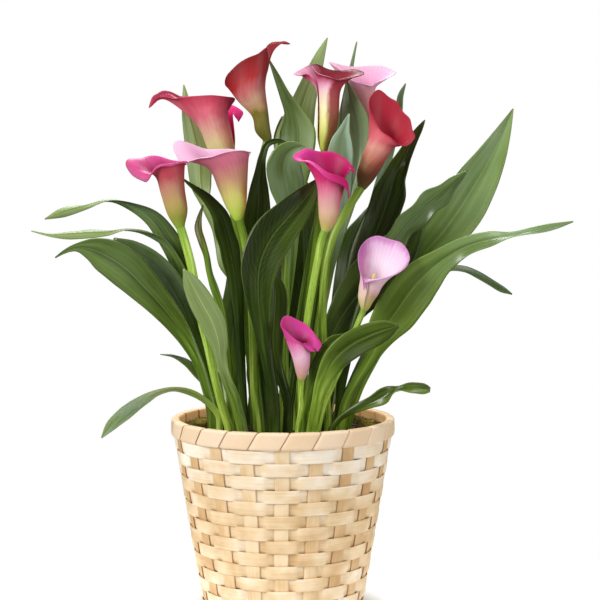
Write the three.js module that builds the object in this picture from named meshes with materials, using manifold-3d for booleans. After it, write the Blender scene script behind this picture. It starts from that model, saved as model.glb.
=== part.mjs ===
// Potted calla lily in a woven bamboo cover basket.
// Millimetres, +Z up. The origin is the middle of the basket's underside, on the ground, and -Y is the front.
//
// The plant is laid out as it is seen by somebody who stands in front of it. A place on it is written as
// [across, up, depth]: across and up are where it is seen on the upright plane through the pot's axis, and
// depth is how far behind that plane it really lies. A change of depth slides it along the line of sight.
import * as THREE from 'three';
import { mergeVertices } from 'three/addons/utils/BufferGeometryUtils.js';
import Module from 'manifold-3d';

const wasm = await Module();
wasm.setup();

// Driving dimensions: the onlooker
const EYE = new THREE.Vector3(13.75, -1070, 308);

// Driving dimensions: basket
const FOOT_RADIUS = 64.6;
const WALL_SLOPE = 0.164;
const WALL_TOP = 143;
const WALL_THICKNESS = 2.6;
const STAKES = 20;
const WEAVE_ROWS = 13;
const ROW_PITCH = 10.1;
const FOOT_BAND = 9.4;
const WEAVE_RISE = 2.2;
const STAKE_RISE = 0;
const STAKE_HALF_SHARE = 0.19;
const ROW_GAP = 0.8;
const BASE_THICKNESS = 2.6;
const CLEARANCE = 0.3;

// Driving dimensions: rim
const RIM_TOP = 154.5;
const RIM_OUTER = 90;
const RIM_WRAPS = 23;
const WRAP_THICKNESS = 1.1;
const WRAP_SLANT = 8;
const WRAP_GROOVE = 0.6;
const WRAP_SHOULDER = 0.6;
const WRAP_EDGES = [0, 0.12, 0.88];
const HOOP_OUTER = 88.3;
const HOOP_INNER = 84.9;
const BAND_BOTTOM = 141.2;

// Driving dimensions: nursery pot, soil and moss
const POT_TOP = 138.8;
const POT_TOP_RADIUS = 80;
const POT_FOOT_RADIUS = 57;
const POT_WALL = 1.6;
const SOIL_TOP = 145;
const MOUND_RADIUS = 66;
const MOSS_OUTER = 82.6;
const MOSS_RISE = 6.4;
const ROUND_SEGMENTS = 32;

// Driving dimensions: plant
const ROOT_DEPTH = 130;
const SOIL_CLEAR = 149;
const STALK_THICKNESS = 5;
const RIB_THICKNESS = 1.7;
const EDGE_THICKNESS = 0.9;
const STEM_SIDES = 6;
const SPATHE_WALL = 0.9;
const WRAP_OVERLAP = 22;
const WRAP_STEP = 1.8;
const MOUTH_OPENING = -6;
const LIMB_SHARE = 0.55;
const UNFOLD_PLACES = 2.5;
const EDGE_BEND = 1.3;
const SECTION = [-1, 0, 1];
const FINE_SECTION = [-1, -0.52, 0, 0.52, 1];
const SPADIX_SHARE = 0.84;
const SPADIX_HEIGHTS = [0.12, 0.45, 0.85, 1];
const SPADIX_RADII = [0.95, 1.1, 0.9, 0.35];

const radians = THREE.MathUtils.degToRad;
const lerp = THREE.MathUtils.lerp;

// A place given as seen, in real coordinates.
function seen(across, up, depth) {
  const reach = 1 - depth / EYE.y;
  return new THREE.Vector3(
    EYE.x + (across - EYE.x) * reach,
    depth,
    EYE.z + (up - EYE.z) * reach,
  );
}

// A value that passes through start, middle and end as share goes from 0 to 1.
function through(start, middle, end, share) {
  return start * (1 - share) * (1 - 2 * share) + 4 * middle * share * (1 - share)
    + end * share * (2 * share - 1);
}

function quad(list, a, b, c, d) {
  list.push(a, b, c, a, c, d);
}

function geometryOf(points, triangles) {
  const geometry = new THREE.BufferGeometry();
  const numbers = points.flatMap((p) => [p.x, p.y, p.z]);
  geometry.setAttribute('position', new THREE.Float32BufferAttribute(numbers, 3));
  geometry.setIndex(triangles);
  return geometry;
}

// Closes two matching grids of points into one thin body. The front grid faces the way that
// its columns crossed with its rows point. Both faces are split into triangles alike.
function sheet(front, back) {
  const rows = front.length;
  const columns = front[0].length;
  const points = [...front.flat(), ...back.flat()];
  const f = (row, column) => row * columns + column;
  const b = (row, column) => rows * columns + f(row, column);
  const triangles = [];
  for (let row = 0; row < rows - 1; row += 1) {
    for (let column = 0; column < columns - 1; column += 1) {
      quad(triangles, f(row, column), f(row, column + 1), f(row + 1, column + 1), f(row + 1, column));
      triangles.push(b(row, column), b(row + 1, column + 1), b(row, column + 1));
      triangles.push(b(row, column), b(row + 1, column), b(row + 1, column + 1));
    }
    const last = columns - 1;
    quad(triangles, f(row, 0), f(row + 1, 0), b(row + 1, 0), b(row, 0));
    quad(triangles, f(row, last), b(row, last), b(row + 1, last), f(row + 1, last));
  }
  for (let column = 0; column < columns - 1; column += 1) {
    const end = rows - 1;
    quad(triangles, f(0, column), b(0, column), b(0, column + 1), f(0, column + 1));
    quad(triangles, f(end, column), f(end, column + 1), b(end, column + 1), b(end, column));
  }
  return geometryOf(points, triangles);
}

// A ring body: every station holds the same closed section, and the last station meets the first.
// A section starts on the inside and goes outwards along its underside, then up and back.
function ring(stations) {
  const points = stations.flat();
  const around = stations[0].length;
  const triangles = [];
  stations.forEach((_, s) => {
    const next = (s + 1) % stations.length;
    for (let k = 0; k < around; k += 1) {
      const k2 = (k + 1) % around;
      quad(triangles, s * around + k, next * around + k, next * around + k2, s * around + k2);
    }
  });
  return geometryOf(points, triangles);
}

function polar(radius, angle, z) {
  return new THREE.Vector3(radius * Math.cos(angle), radius * Math.sin(angle), z);
}

// Directions at a place on a spine: right as seen, towards the onlooker, and along the spine.
function frameAt(place, along, roll) {
  const view = place.clone().sub(EYE).normalize();
  const side = view.clone().cross(along).normalize();
  const facing = side.clone().cross(along).normalize();
  const angle = radians(roll);
  const right = side.clone().multiplyScalar(Math.cos(angle)).addScaledVector(facing, Math.sin(angle));
  const normal = facing.clone().multiplyScalar(Math.cos(angle)).addScaledVector(side, -Math.sin(angle));
  return { right, normal };
}

function directions(places) {
  return places.map((_, i) => {
    const before = places[Math.max(i - 1, 0)];
    const after = places[Math.min(i + 1, places.length - 1)];
    return after.clone().sub(before).normalize();
  });
}

// Places of a shoot: two straight down in its hole in the soil, then its course as seen.
function shootPlaces(root, depths, course) {
  const rooted = [ROOT_DEPTH, SOIL_CLEAR].map((z) => new THREE.Vector3(root[0], root[1], z));
  const lengths = [0];
  course.slice(1).forEach((point, i) => {
    lengths.push(lengths[i] + Math.hypot(point[0] - course[i][0], point[1] - course[i][1]));
  });
  const rise = course[0][1] - SOIL_CLEAR;
  const whole = lengths.at(-1) + rise;
  const seenPart = course.map((point, i) => {
    const share = (lengths[i] + rise) / whole;
    return seen(point[0], point[1], through(root[1], depths[0], depths[1], share));
  });
  return [...rooted, ...seenPart];
}

// A leaf: stalk and blade in one. Its section is folded along the rib, with the edges raised towards
// the upper side, which faces the onlooker where face is 1 and away where it is -1.
function leafGrids(leaf, swell) {
  const { root, depths, course, neck, face = 1, cup = 0.22, fine = false, wave = 0 } = leaf;
  const places = shootPlaces(root, depths, course);
  const along = directions(places);
  const spread = fine ? FINE_SECTION : SECTION;
  const stalk = leaf.stalk ?? STALK_THICKNESS;
  const front = [];
  const back = [];
  places.forEach((place, i) => {
    const point = course[Math.max(i - 2, 0)];
    const open = THREE.MathUtils.smoothstep(i, neck, neck + UNFOLD_PLACES);
    const width = (i < 2 ? Math.max(point[2], stalk) : point[2]) + swell;
    const rib = lerp(stalk, RIB_THICKNESS, open) + swell;
    const edge = lerp(stalk * 0.45, EDGE_THICKNESS, open) + swell;
    const { right, normal } = frameAt(place, along[i], i < 2 ? 0 : point[3] ?? 0);
    const ripple = wave * open * (i % 2 ? 1 : -1) * Math.min(1, width / 12);
    const rowFront = [];
    const rowBack = [];
    spread.forEach((s) => {
      const bend = Math.abs(s) ** EDGE_BEND;
      const lift = face * open * (cup * width * 0.5 * bend + ripple * bend * Math.sign(s));
      const middle = place.clone()
        .addScaledVector(right, s * width * 0.5)
        .addScaledVector(normal, lift);
      const half = lerp(rib, edge, bend) / 2;
      rowFront.push(middle.clone().addScaledVector(normal, half));
      rowBack.push(middle.clone().addScaledVector(normal, -half));
    });
    front.push(rowFront);
    back.push(rowBack);
  });
  return { front, back };
}

// The stalk's hole in the soil: its own lowest stretch, a little larger.
function holeCutter({ front, back }) {
  const lower = (row) => row.map((p) => p.clone().setZ(p.z - CLEARANCE));
  return sheet([lower(front[0]), front[1]], [lower(back[0]), back[1]]);
}

// A round shoot through the given places, closed at both ends.
function rod(places, radii) {
  const along = directions(places);
  const points = [];
  places.forEach((place, i) => {
    const { right, normal } = frameAt(place, along[i], 0);
    for (let k = 0; k < STEM_SIDES; k += 1) {
      const angle = (2 * Math.PI * k) / STEM_SIDES;
      points.push(place.clone()
        .addScaledVector(right, radii[i] * Math.cos(angle))
        .addScaledVector(normal, -radii[i] * Math.sin(angle)));
    }
  });
  const triangles = [];
  for (let s = 0; s < places.length - 1; s += 1) {
    for (let k = 0; k < STEM_SIDES; k += 1) {
      const k2 = (k + 1) % STEM_SIDES;
      const low = s * STEM_SIDES;
      const high = low + STEM_SIDES;
      quad(triangles, low + k, low + k2, high + k2, high + k);
    }
  }
  const top = (places.length - 1) * STEM_SIDES;
  for (let k = 1; k < STEM_SIDES - 1; k += 1) {
    triangles.push(0, k + 1, k);
    triangles.push(top, top + k, top + k + 1);
  }
  return geometryOf(points, triangles);
}

// A flower's stem, which ends in the finger-like spadix inside the spathe.
function stemPlaces(flower) {
  const { root, depths, course, rings } = flower;
  const places = shootPlaces(root, depths, [...course, rings[0]]);
  const foot = places.at(-1);
  const throat = ringCentres(flower).at(-1);
  const inside = SPADIX_HEIGHTS.map((share) => foot.clone().lerp(throat, share * SPADIX_SHARE));
  const radius = flower.stem;
  const neckRadius = flower.neck;
  const radii = places.map(() => radius);
  radii[radii.length - 1] = neckRadius;
  const swollen = SPADIX_RADII.map((share) => share * neckRadius);
  return { places: [...places, ...inside], radii: [...radii, ...swollen] };
}

// Centres of the rings that shape the spathe's tube.
function ringCentres({ rings, depths }) {
  return rings.map(([across, up]) => seen(across, up, depths[1]));
}

// A spathe: one leaf rolled into a funnel. Its tube is set by rings, from foot to throat, and its mouth by
// the rim, a list of [angle, across, up, depth] where 0 degrees faces the onlooker and 90 is to the right.
function spatheGrid(flower) {
  const { rings, rim, seam, depths, arch = 0, slit = 0, spiral = 0 } = flower;
  const centres = ringCentres(flower);
  const along = directions(centres);
  const overlaps = [WRAP_OVERLAP, WRAP_OVERLAP, (WRAP_OVERLAP - slit) * 0.9, WRAP_OVERLAP * 0.5 - slit];
  const firstAngle = seam - MOUTH_OPENING;
  const turn = 360 + 2 * MOUTH_OPENING;
  const rows = centres.map((centre, k) => {
    const { right, normal } = frameAt(centre, along[k], 0);
    return rim.map(([label]) => {
      const share = (label - firstAngle) / turn;
      const turned = spiral * (1 - k / (rings.length - 1));
      const angle = radians(seam - turned - overlaps[k] + share * (360 + 2 * overlaps[k]));
      const radius = rings[k][2] + WRAP_STEP * share;
      return centre.clone()
        .addScaledVector(normal, radius * Math.cos(angle))
        .addScaledVector(right, radius * Math.sin(angle));
    });
  });
  const throat = rows.at(-1);
  const edge = rim.map(([, across, up, depth]) => seen(across, up, depths[1] + depth));
  const limb = edge.map((point, i) => throat[i].clone()
    .lerp(point, LIMB_SHARE)
    .addScaledVector(along.at(-1), arch + (rim[i][4] ?? 0)));
  return [...rows, limb, edge];
}

// Gives a grid of points a wall: half its thickness to each side, along its own normals.
function walled(grid, wall) {
  const rows = grid.length;
  const columns = grid[0].length;
  const outer = [];
  const inner = [];
  for (let row = 0; row < rows; row += 1) {
    const outerRow = [];
    const innerRow = [];
    for (let column = 0; column < columns; column += 1) {
      const across = grid[row][Math.min(column + 1, columns - 1)].clone()
        .sub(grid[row][Math.max(column - 1, 0)]);
      const onward = grid[Math.min(row + 1, rows - 1)][column].clone()
        .sub(grid[Math.max(row - 1, 0)][column]);
      const normal = across.cross(onward).normalize();
      outerRow.push(grid[row][column].clone().addScaledVector(normal, wall / 2));
      innerRow.push(grid[row][column].clone().addScaledVector(normal, -wall / 2));
    }
    outer.push(outerRow);
    inner.push(innerRow);
  }
  return { outer, inner };
}

function spathe(flower) {
  const { outer, inner } = walled(spatheGrid(flower), SPATHE_WALL);
  return sheet(outer, inner);
}

// Colours of the finishes
const BAMBOO = '#e6c89c';
const BAMBOO_RIM = '#ecd2a8';
const BAMBOO_BASE = '#d8b888';
const POT_GREEN = '#3c4a34';
const SOIL_BROWN = '#3a2a1c';
const MOSS_GREEN = '#5a5f24';
const LEAF_BRIGHT = '#5d8a2f';
const LEAF_DEEP = '#34501c';
const LEAF_SAGE = '#8fa873';
const STEM_LIME = '#a3c648';
const STEM_OLIVE = '#8d9a3c';

function finish(colour, roughness) {
  return new THREE.MeshStandardMaterial({ color: colour, roughness, metalness: 0, side: THREE.DoubleSide });
}

const plant = new THREE.Group();
const potAndBasket = new THREE.Group();

function place(group, name, geometry, material) {
  const mesh = new THREE.Mesh(geometry, material);
  mesh.name = name;
  group.add(mesh);
  return mesh;
}

const wallRadius = (z) => FOOT_RADIUS + WALL_SLOPE * z;

// Basket wall: one shell whose outside is raised into the plain weave. Each row stands proud where its
// weaver passes in front of a stake and sinks in where the stake passes in front of it.
function basketWall() {
  const bandEdges = [0, FOOT_BAND - ROW_GAP];
  for (let row = 0; row < WEAVE_ROWS; row += 1) {
    const low = FOOT_BAND + row * ROW_PITCH;
    bandEdges.push(low + ROW_GAP, low + ROW_PITCH - ROW_GAP);
  }
  const stations = [];
  for (let column = 0; column < STAKES * 2; column += 1) {
    const stake = Math.floor(column / 2);
    const side = column % 2 ? STAKE_HALF_SHARE : -STAKE_HALF_SHARE;
    const angle = ((stake + side) * 2 * Math.PI) / STAKES;
    const section = [];
    bandEdges.forEach((z, line) => {
      const row = Math.floor((line - 2) / 2);
      const weaverInFront = line < 2 || (stake + row) % 2 === 0;
      const rise = weaverInFront ? WEAVE_RISE : STAKE_RISE;
      section.push(polar(wallRadius(z) + rise - WEAVE_RISE, angle, z));
    });
    section.push(polar(wallRadius(WALL_TOP) - 0.4, angle, WALL_TOP));
    section.push(polar(wallRadius(WALL_TOP) - WALL_THICKNESS, angle, WALL_TOP));
    section.push(polar(wallRadius(0) - WALL_THICKNESS, angle, 0));
    stations.push(section);
  }
  return ring(stations);
}

// Basket base: a thin woven disc on the ground inside the wall.
function basketBase() {
  const radius = wallRadius(0) - WALL_THICKNESS - 2 * CLEARANCE;
  const geometry = new THREE.CylinderGeometry(radius, radius, BASE_THICKNESS, ROUND_SEGMENTS);
  geometry.rotateX(Math.PI / 2);
  geometry.translate(0, 0, BASE_THICKNESS / 2);
  return geometry;
}

// Rim hoop: the flat split-bamboo hoop that stands on the wall's top edge.
function rimHoop() {
  const bottom = WALL_TOP + CLEARANCE;
  const top = RIM_TOP - WRAP_THICKNESS - CLEARANCE;
  const stations = [];
  for (let k = 0; k < ROUND_SEGMENTS; k += 1) {
    const angle = (2 * Math.PI * k) / ROUND_SEGMENTS;
    stations.push([
      polar(HOOP_INNER, angle, bottom),
      polar(HOOP_OUTER, angle, bottom),
      polar(HOOP_OUTER, angle, top),
      polar(HOOP_INNER, angle, top),
    ]);
  }
  return ring(stations);
}

// Rim binding: a flat strip wound over the hoop, turn beside turn, each turn leaning as it crosses the face.
function rimBinding() {
  const columns = RIM_WRAPS * WRAP_EDGES.length;
  const innerFace = HOOP_OUTER + 2 * CLEARANCE;
  const innerLeg = HOOP_INNER - 2 * CLEARANCE;
  const slant = WRAP_SLANT / RIM_OUTER;
  const stations = [];
  for (let column = 0; column < columns; column += 1) {
    const step = column % WRAP_EDGES.length;
    const turn = Math.floor(column / WRAP_EDGES.length) + WRAP_EDGES[step];
    const base = (turn * 2 * Math.PI) / RIM_WRAPS;
    const groove = step === 0 ? WRAP_GROOVE : 0;
    const outer = RIM_OUTER - groove;
    const inner = innerLeg - WRAP_THICKNESS + groove * 0.5;
    const top = RIM_TOP - groove * 0.7;
    const low = base - slant;
    stations.push([
      polar(inner, base, BAND_BOTTOM),
      polar(innerLeg, base, BAND_BOTTOM),
      polar(innerLeg, base, RIM_TOP - WRAP_THICKNESS),
      polar(innerFace, base, RIM_TOP - WRAP_THICKNESS),
      polar(innerFace, low, BAND_BOTTOM),
      polar(outer, low, BAND_BOTTOM),
      polar(outer - WRAP_SHOULDER, base, top),
      polar(inner + WRAP_SHOULDER, base, top),
    ]);
  }
  return ring(stations);
}

function lathe(profile) {
  const points = profile.map(([radius, z]) => new THREE.Vector2(radius, z));
  const geometry = new THREE.LatheGeometry(points, ROUND_SEGMENTS);
  geometry.rotateX(Math.PI / 2);
  geometry.deleteAttribute('normal');
  geometry.deleteAttribute('uv');
  return mergeVertices(geometry, 1e-4);
}

// Nursery pot: the thin plastic pot that the plant grows in.
function nurseryPot() {
  const bottom = BASE_THICKNESS + CLEARANCE;
  return lathe([
    [0, bottom],
    [POT_FOOT_RADIUS, bottom],
    [POT_TOP_RADIUS, POT_TOP],
    [POT_TOP_RADIUS - POT_WALL, POT_TOP],
    [POT_FOOT_RADIUS - POT_WALL, bottom + POT_WALL],
    [0, bottom + POT_WALL],
  ]);
}

function solidOf(geometry) {
  const bare = geometry.clone();
  bare.deleteAttribute('normal');
  bare.deleteAttribute('uv');
  const merged = mergeVertices(bare, 1e-4);
  return new wasm.Manifold(new wasm.Mesh({
    numProp: 3,
    vertProperties: new Float32Array(merged.attributes.position.array),
    triVerts: new Uint32Array(merged.index.array),
  }));
}

function geometryFrom(solid) {
  const mesh = solid.getMesh();
  const geometry = new THREE.BufferGeometry();
  geometry.setAttribute('position', new THREE.Float32BufferAttribute(mesh.vertProperties, 3));
  geometry.setIndex(new THREE.Uint32BufferAttribute(mesh.triVerts, 1));
  return geometry;
}

// Soil: fills the pot and rises in a low mound, with a plain hole for each shoot.
function soil(cutters) {
  const bottom = BASE_THICKNESS + CLEARANCE + POT_WALL + CLEARANCE;
  const fit = POT_WALL + 2 * CLEARANCE;
  let body = solidOf(lathe([
    [0, bottom],
    [POT_FOOT_RADIUS - fit, bottom],
    [POT_TOP_RADIUS - fit, POT_TOP],
    [MOUND_RADIUS, POT_TOP],
    [MOUND_RADIUS, SOIL_TOP - 1.2],
    [MOUND_RADIUS - 5, SOIL_TOP],
    [0, SOIL_TOP],
  ]));
  cutters.forEach((cutter) => {
    body = body.subtract(solidOf(cutter));
  });
  return geometryFrom(body);
}

// Moss: a lumpy collar laid on the soil and over the pot's edge, out to the rim.
function moss() {
  const stations = [];
  const lump = (k, phase) => Math.sin(k * 2.4 + phase) * 0.7 + Math.sin(k * 0.9 + 2 * phase) * 0.6;
  const floor = POT_TOP + CLEARANCE;
  for (let k = 0; k < ROUND_SEGMENTS; k += 1) {
    const angle = (2 * Math.PI * k) / ROUND_SEGMENTS;
    stations.push([
      polar(MOUND_RADIUS + CLEARANCE, angle, floor),
      polar(MOSS_OUTER, angle, floor),
      polar(MOSS_OUTER, angle, floor + MOSS_RISE - 2 + 0.5 * lump(k, 1)),
      polar(MOSS_OUTER - 4, angle, floor + MOSS_RISE + lump(k, 2)),
      polar(MOUND_RADIUS + 6, angle, floor + MOSS_RISE + lump(k, 3)),
      polar(MOUND_RADIUS + CLEARANCE, angle, floor + MOSS_RISE - 1 + 0.5 * lump(k, 4)),
    ]);
  }
  return ring(stations);
}

// Leaves. Each course goes from the soil to the tip as [across, up, width, roll], where roll turns the
// blade about its rib. neck is how many places from the root still belong to the thick stalk.
const LEAVES = [
  { name: 'leaf_left_long', colour: LEAF_BRIGHT, root: [-56, -15], depths: [-18, -26], neck: 4, fine: true,
    cup: 0.2,
    course: [[-57, 160, 8], [-61, 175, 8], [-68, 198, 9], [-76, 214, 12], [-87, 231, 17], [-100, 247, 22],
      [-113, 261, 27], [-126, 274, 31], [-141, 284, 28], [-155, 290, 17], [-167, 291, 6], [-176, 287.5, 3],
      [-183, 283, 1.2]] },
  { name: 'leaf_left_dark', colour: LEAF_DEEP, root: [-48, -7], depths: [-3, 2], neck: 4, fine: true,
    course: [[-53, 162, 8], [-57, 178, 8], [-62, 196, 9], [-68, 212, 13], [-76, 232, 18], [-85, 250, 22],
      [-95, 266, 23], [-107, 279, 21], [-121, 289, 16], [-136, 298, 3]] },
  { name: 'leaf_left_upper', colour: LEAF_SAGE, root: [-58, 7], depths: [16, 8], neck: 4,
    course: [[-60, 168, 7], [-63, 195, 7], [-68, 228, 9], [-75, 262, 15], [-84, 284, 18], [-94, 302, 17, 10],
      [-105, 316, 15, 30], [-121, 325, 12, 52], [-139, 329, 12, 84], [-158, 324.5, 11, 112],
      [-175, 320.5, 10, 142], [-191, 314, 1.2, 150]] },
  { name: 'leaf_left_middle', colour: LEAF_SAGE, root: [-48, 4], depths: [7, 2], neck: 5,
    course: [[-51, 166, 7], [-57, 192, 7], [-63, 218, 7], [-70, 243, 9, 20], [-77, 264, 11, 45],
      [-86, 284, 10, 58], [-97, 297.5, 10, 60], [-110, 303.5, 9, 72], [-125, 305.5, 8, 82],
      [-140, 303.5, 10, 116], [-155, 303, 11, 132], [-170, 302, 10, 130], [-187, 301.5, 5, 120],
      [-202, 304.5, 1.2, 120]] },
  { name: 'leaf_left_low', colour: LEAF_DEEP, root: [-50, -24], depths: [-36, -46], neck: 2, stalk: 3.6,
    course: [[-52, 154.5, 5], [-57, 162, 5], [-65, 169, 5], [-76, 175, 6, 30], [-88, 177.5, 8, 60],
      [-100, 175, 11, 64], [-113, 169, 13, 52], [-126, 160, 13, 34], [-138, 149, 10, 20],
      [-147, 137, 1.2, 10]] },
  { name: 'leaf_left_small', colour: LEAF_DEEP, root: [-45, 17], depths: [24, 26], neck: 2, stalk: 3.4,
    course: [[-48, 158, 4.5], [-54, 169, 4.5], [-61, 180, 6], [-70, 191, 8, 20], [-78, 199, 8, 45],
      [-88, 204, 7, 72], [-99, 205, 1.2, 80]] },
  { name: 'leaf_left_front', colour: LEAF_SAGE, root: [-31, -42], depths: [-52, -60], neck: 3, face: -1,
    fine: true,
    course: [[-36, 157, 9], [-40, 171, 9], [-46, 186, 8], [-50, 200, 9], [-52, 215, 15], [-57, 231, 20],
      [-65, 246, 19], [-73, 261, 14], [-80, 274, 1.2]] },
  { name: 'leaf_left_tall', colour: LEAF_SAGE, root: [-24, 4], depths: [20, 38], neck: 4, fine: true,
    face: -1,
    course: [[-26, 190, 6], [-29, 230, 6], [-33, 247, 7], [-39, 264, 9, 30], [-44, 280, 17],
      [-48, 297, 16, 10], [-56, 311, 13, 45], [-62, 324, 12, 50], [-66, 342, 18, 15], [-67, 360, 20],
      [-71, 380, 17], [-76, 400, 10], [-79, 421, 1.2]] },
  { name: 'leaf_left_behind', colour: LEAF_DEEP, root: [-31, -12], depths: [-8, -4], neck: 3, wave: 1,
    course: [[-33, 180, 7], [-35, 220, 8], [-37, 250, 11], [-40, 275, 15], [-45, 298, 17], [-51, 317, 14],
      [-60, 330, 9], [-70, 338, 5], [-81, 347, 1.2]] },
  { name: 'leaf_young_rolled', colour: LEAF_BRIGHT, root: [-38, -6], depths: [-14, -16], neck: 6, stalk: 3.6,
    cup: 0.6,
    course: [[-42, 180, 5], [-45, 212, 5], [-50, 243, 6], [-55, 258, 6.5], [-59, 271, 5], [-61.5, 285, 5],
      [-65, 296, 6], [-68, 307, 6], [-67, 315, 4], [-64, 325, 1.2]] },
  { name: 'leaf_centre_tall', colour: LEAF_BRIGHT, root: [-2, -6], depths: [4, 16], neck: 3, fine: true,
    cup: 0.35,
    course: [[0, 170, 7], [1, 215, 7], [2, 255, 7], [3, 288, 9], [4, 315, 15], [6, 340, 25], [9, 362, 30],
      [12, 382, 29], [9, 398, 16], [2, 412, 9], [-5, 428, 5], [-11, 441, 1.2]] },
  { name: 'leaf_centre_broad', colour: LEAF_BRIGHT, root: [0, -18], depths: [-14, -20], neck: 4, stalk: 4,
    fine: true, cup: 0.25,
    course: [[2, 168, 5], [2, 205, 5], [2, 238, 5], [3, 264, 5], [5, 291, 6], [6, 312, 10], [5, 328, 21],
      [3, 343, 28], [1, 355, 28], [3, 364, 23], [9, 370, 14], [17, 372, 1.2]] },
  { name: 'leaf_centre_back', colour: LEAF_SAGE, root: [-11, 6], depths: [20, 34], neck: 3, fine: true,
    face: -1,
    course: [[-6, 190, 7], [2, 240, 7], [7, 290, 10], [8, 325, 16], [8, 350, 26], [9, 375, 32],
      [13, 394, 26], [18, 411, 19], [24, 428, 14], [30, 445, 8], [35.5, 458, 1.2]] },
  { name: 'leaf_centre_dark', colour: LEAF_DEEP, root: [-6, -37], depths: [-41, -29], neck: 3, fine: true,
    course: [[-8, 172, 9], [-12, 198, 10], [-17, 228, 14], [-20, 254, 21], [-18, 279, 30], [-9, 299, 33],
      [6, 317, 27], [19, 332, 18], [28, 346, 2]] },
  { name: 'leaf_centre_round', colour: LEAF_DEEP, root: [4, -29], depths: [-27, -23], neck: 3,
    course: [[4, 165, 8], [0, 181, 8], [-6, 198, 11], [-8, 216, 16], [-7, 235, 20], [-6, 252, 19],
      [-7, 264, 12], [-8, 270, 3]] },
  { name: 'leaf_centre_narrow', colour: LEAF_DEEP, root: [-13, -20], depths: [-12, -18], neck: 3,
    course: [[-16, 180, 7], [-20, 220, 8], [-23, 250, 11], [-24, 276, 17], [-22, 300, 22], [-20, 320, 20],
      [-19, 338, 15], [-18, 352, 9], [-16, 365, 6], [-12, 374, 5], [-4, 376.5, 4], [5, 374, 1.2]] },
  { name: 'leaf_right_spear', colour: LEAF_BRIGHT, root: [27, 6], depths: [8, 10], neck: 4, cup: 0.45,
    course: [[28, 180, 7], [30, 220, 7], [33, 250, 7], [38, 276, 8], [44, 300, 10], [50, 320, 12],
      [56, 342, 14], [60, 362, 17], [60, 376, 21], [58, 390, 23], [55, 402, 18], [53, 412, 11],
      [51, 424, 1.2]] },
  { name: 'leaf_right_blue', colour: LEAF_SAGE, root: [20, -5], depths: [-8, -15], neck: 4,
    course: [[22, 168, 6], [25, 198, 7], [29, 228, 7], [34, 257, 8], [39, 286, 10], [44, 312, 13],
      [46, 332, 17], [46, 350, 20], [46, 364, 21], [47, 376, 17], [49, 385, 9], [53, 398, 1.2]] },
  { name: 'leaf_right_dark', colour: LEAF_DEEP, root: [33, -9], depths: [0, 6], neck: 4, fine: true,
    course: [[36, 168, 9], [40, 196, 10], [45, 221, 12], [52, 245, 15], [60, 268, 18], [69, 290, 22],
      [78, 312, 26], [85, 332, 27], [90, 349, 18], [98, 364, 14, 30], [106, 380, 9, 30], [113.5, 393, 1.2]] },
  { name: 'leaf_right_large', colour: LEAF_BRIGHT, root: [41, 0], depths: [6, 14], neck: 6, fine: true,
    cup: 0.25,
    course: [[50, 168, 7], [62, 195, 7], [76, 222, 7], [90, 248, 7], [104, 270, 8], [117, 288, 14],
      [130, 304, 32], [142, 322, 39], [155, 343, 34], [166, 362, 25], [176, 383, 13], [184, 402, 1.2]] },
  { name: 'leaf_right_wavy', colour: LEAF_SAGE, root: [45, -13], depths: [-16, -16], neck: 4, fine: true,
    wave: 2.2,
    course: [[46, 170, 7], [51, 200, 8], [58, 228, 8], [68, 255, 11], [79, 278, 16], [90, 297, 20],
      [100, 309, 20], [110, 319, 22], [121, 329, 21], [135, 341, 13], [148, 353, 1.2]] },
  { name: 'leaf_right_sweep', colour: LEAF_BRIGHT, root: [46, -26], depths: [-36, -50], neck: 3, fine: true,
    course: [[51, 166, 8], [60, 184, 9], [72, 204, 12], [84, 226, 20], [94, 240, 27], [104, 254, 29],
      [115, 268, 27], [129, 281, 20], [146, 291, 16, 20], [165, 297, 15, 32], [187, 301.5, 8, 60],
      [210, 306, 7, 30], [233, 312, 1.2]] },
  { name: 'leaf_right_drooping', colour: LEAF_DEEP, root: [53, -3], depths: [-14, -28], neck: 3, stalk: 3.8,
    course: [[60, 172, 5], [72, 200, 6], [85, 225, 7], [97, 245, 8], [108, 258, 8], [121, 268, 8, 40],
      [133, 273.5, 8, 55], [146, 273, 8, 50], [157, 268.5, 8, 40], [167, 263, 7, 35], [176, 257.5, 6, 30],
      [184.5, 253.5, 1.2, 30]] },
  { name: 'leaf_right_front', colour: LEAF_BRIGHT, root: [23, -46], depths: [-54, -54], neck: 2, fine: true,
    cup: 0.3,
    course: [[27, 162, 9], [33, 184, 13], [43, 202, 19], [56, 213, 21], [70, 220, 20], [83, 225, 15],
      [93, 228, 3]] },
  { name: 'leaf_right_upright', colour: LEAF_BRIGHT, root: [18, -30], depths: [-41, -42], neck: 2,
    course: [[20, 162, 8], [25, 181, 12], [32, 199, 15], [41, 213, 14], [50, 221, 3]] },
  { name: 'leaf_right_low', colour: LEAF_DEEP, root: [38, -38], depths: [-52, -60], neck: 2, stalk: 3.8,
    course: [[47, 154, 5], [59, 161, 7], [71, 166, 9], [82, 171, 13, 15], [93, 176, 12, 72],
      [105, 177.5, 10, 30], [114, 176.8, 9, 20], [119, 176, 4, 20]] },
  { name: 'leaf_right_shadow', colour: LEAF_DEEP, root: [24, -17], depths: [-13, -14], neck: 3,
    course: [[26, 168, 8], [30, 191, 10], [34, 213, 13], [40, 235, 16], [47, 254, 18], [57, 272, 20],
      [68, 288, 18], [78, 301, 10], [84, 309, 1.2]] },
  { name: 'leaf_tip_top', colour: LEAF_SAGE, root: [3, 9], depths: [36, 54], neck: 3, stalk: 3.6,
    course: [[8, 195, 5], [16, 250, 6], [26, 300, 8], [38, 350, 9], [47, 390, 8], [53, 425, 5],
      [55, 436, 3.4], [59, 455, 1.2]] },
  { name: 'leaf_tip_right', colour: LEAF_SAGE, root: [38, 13], depths: [30, 36], neck: 3, stalk: 3.6,
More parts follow.
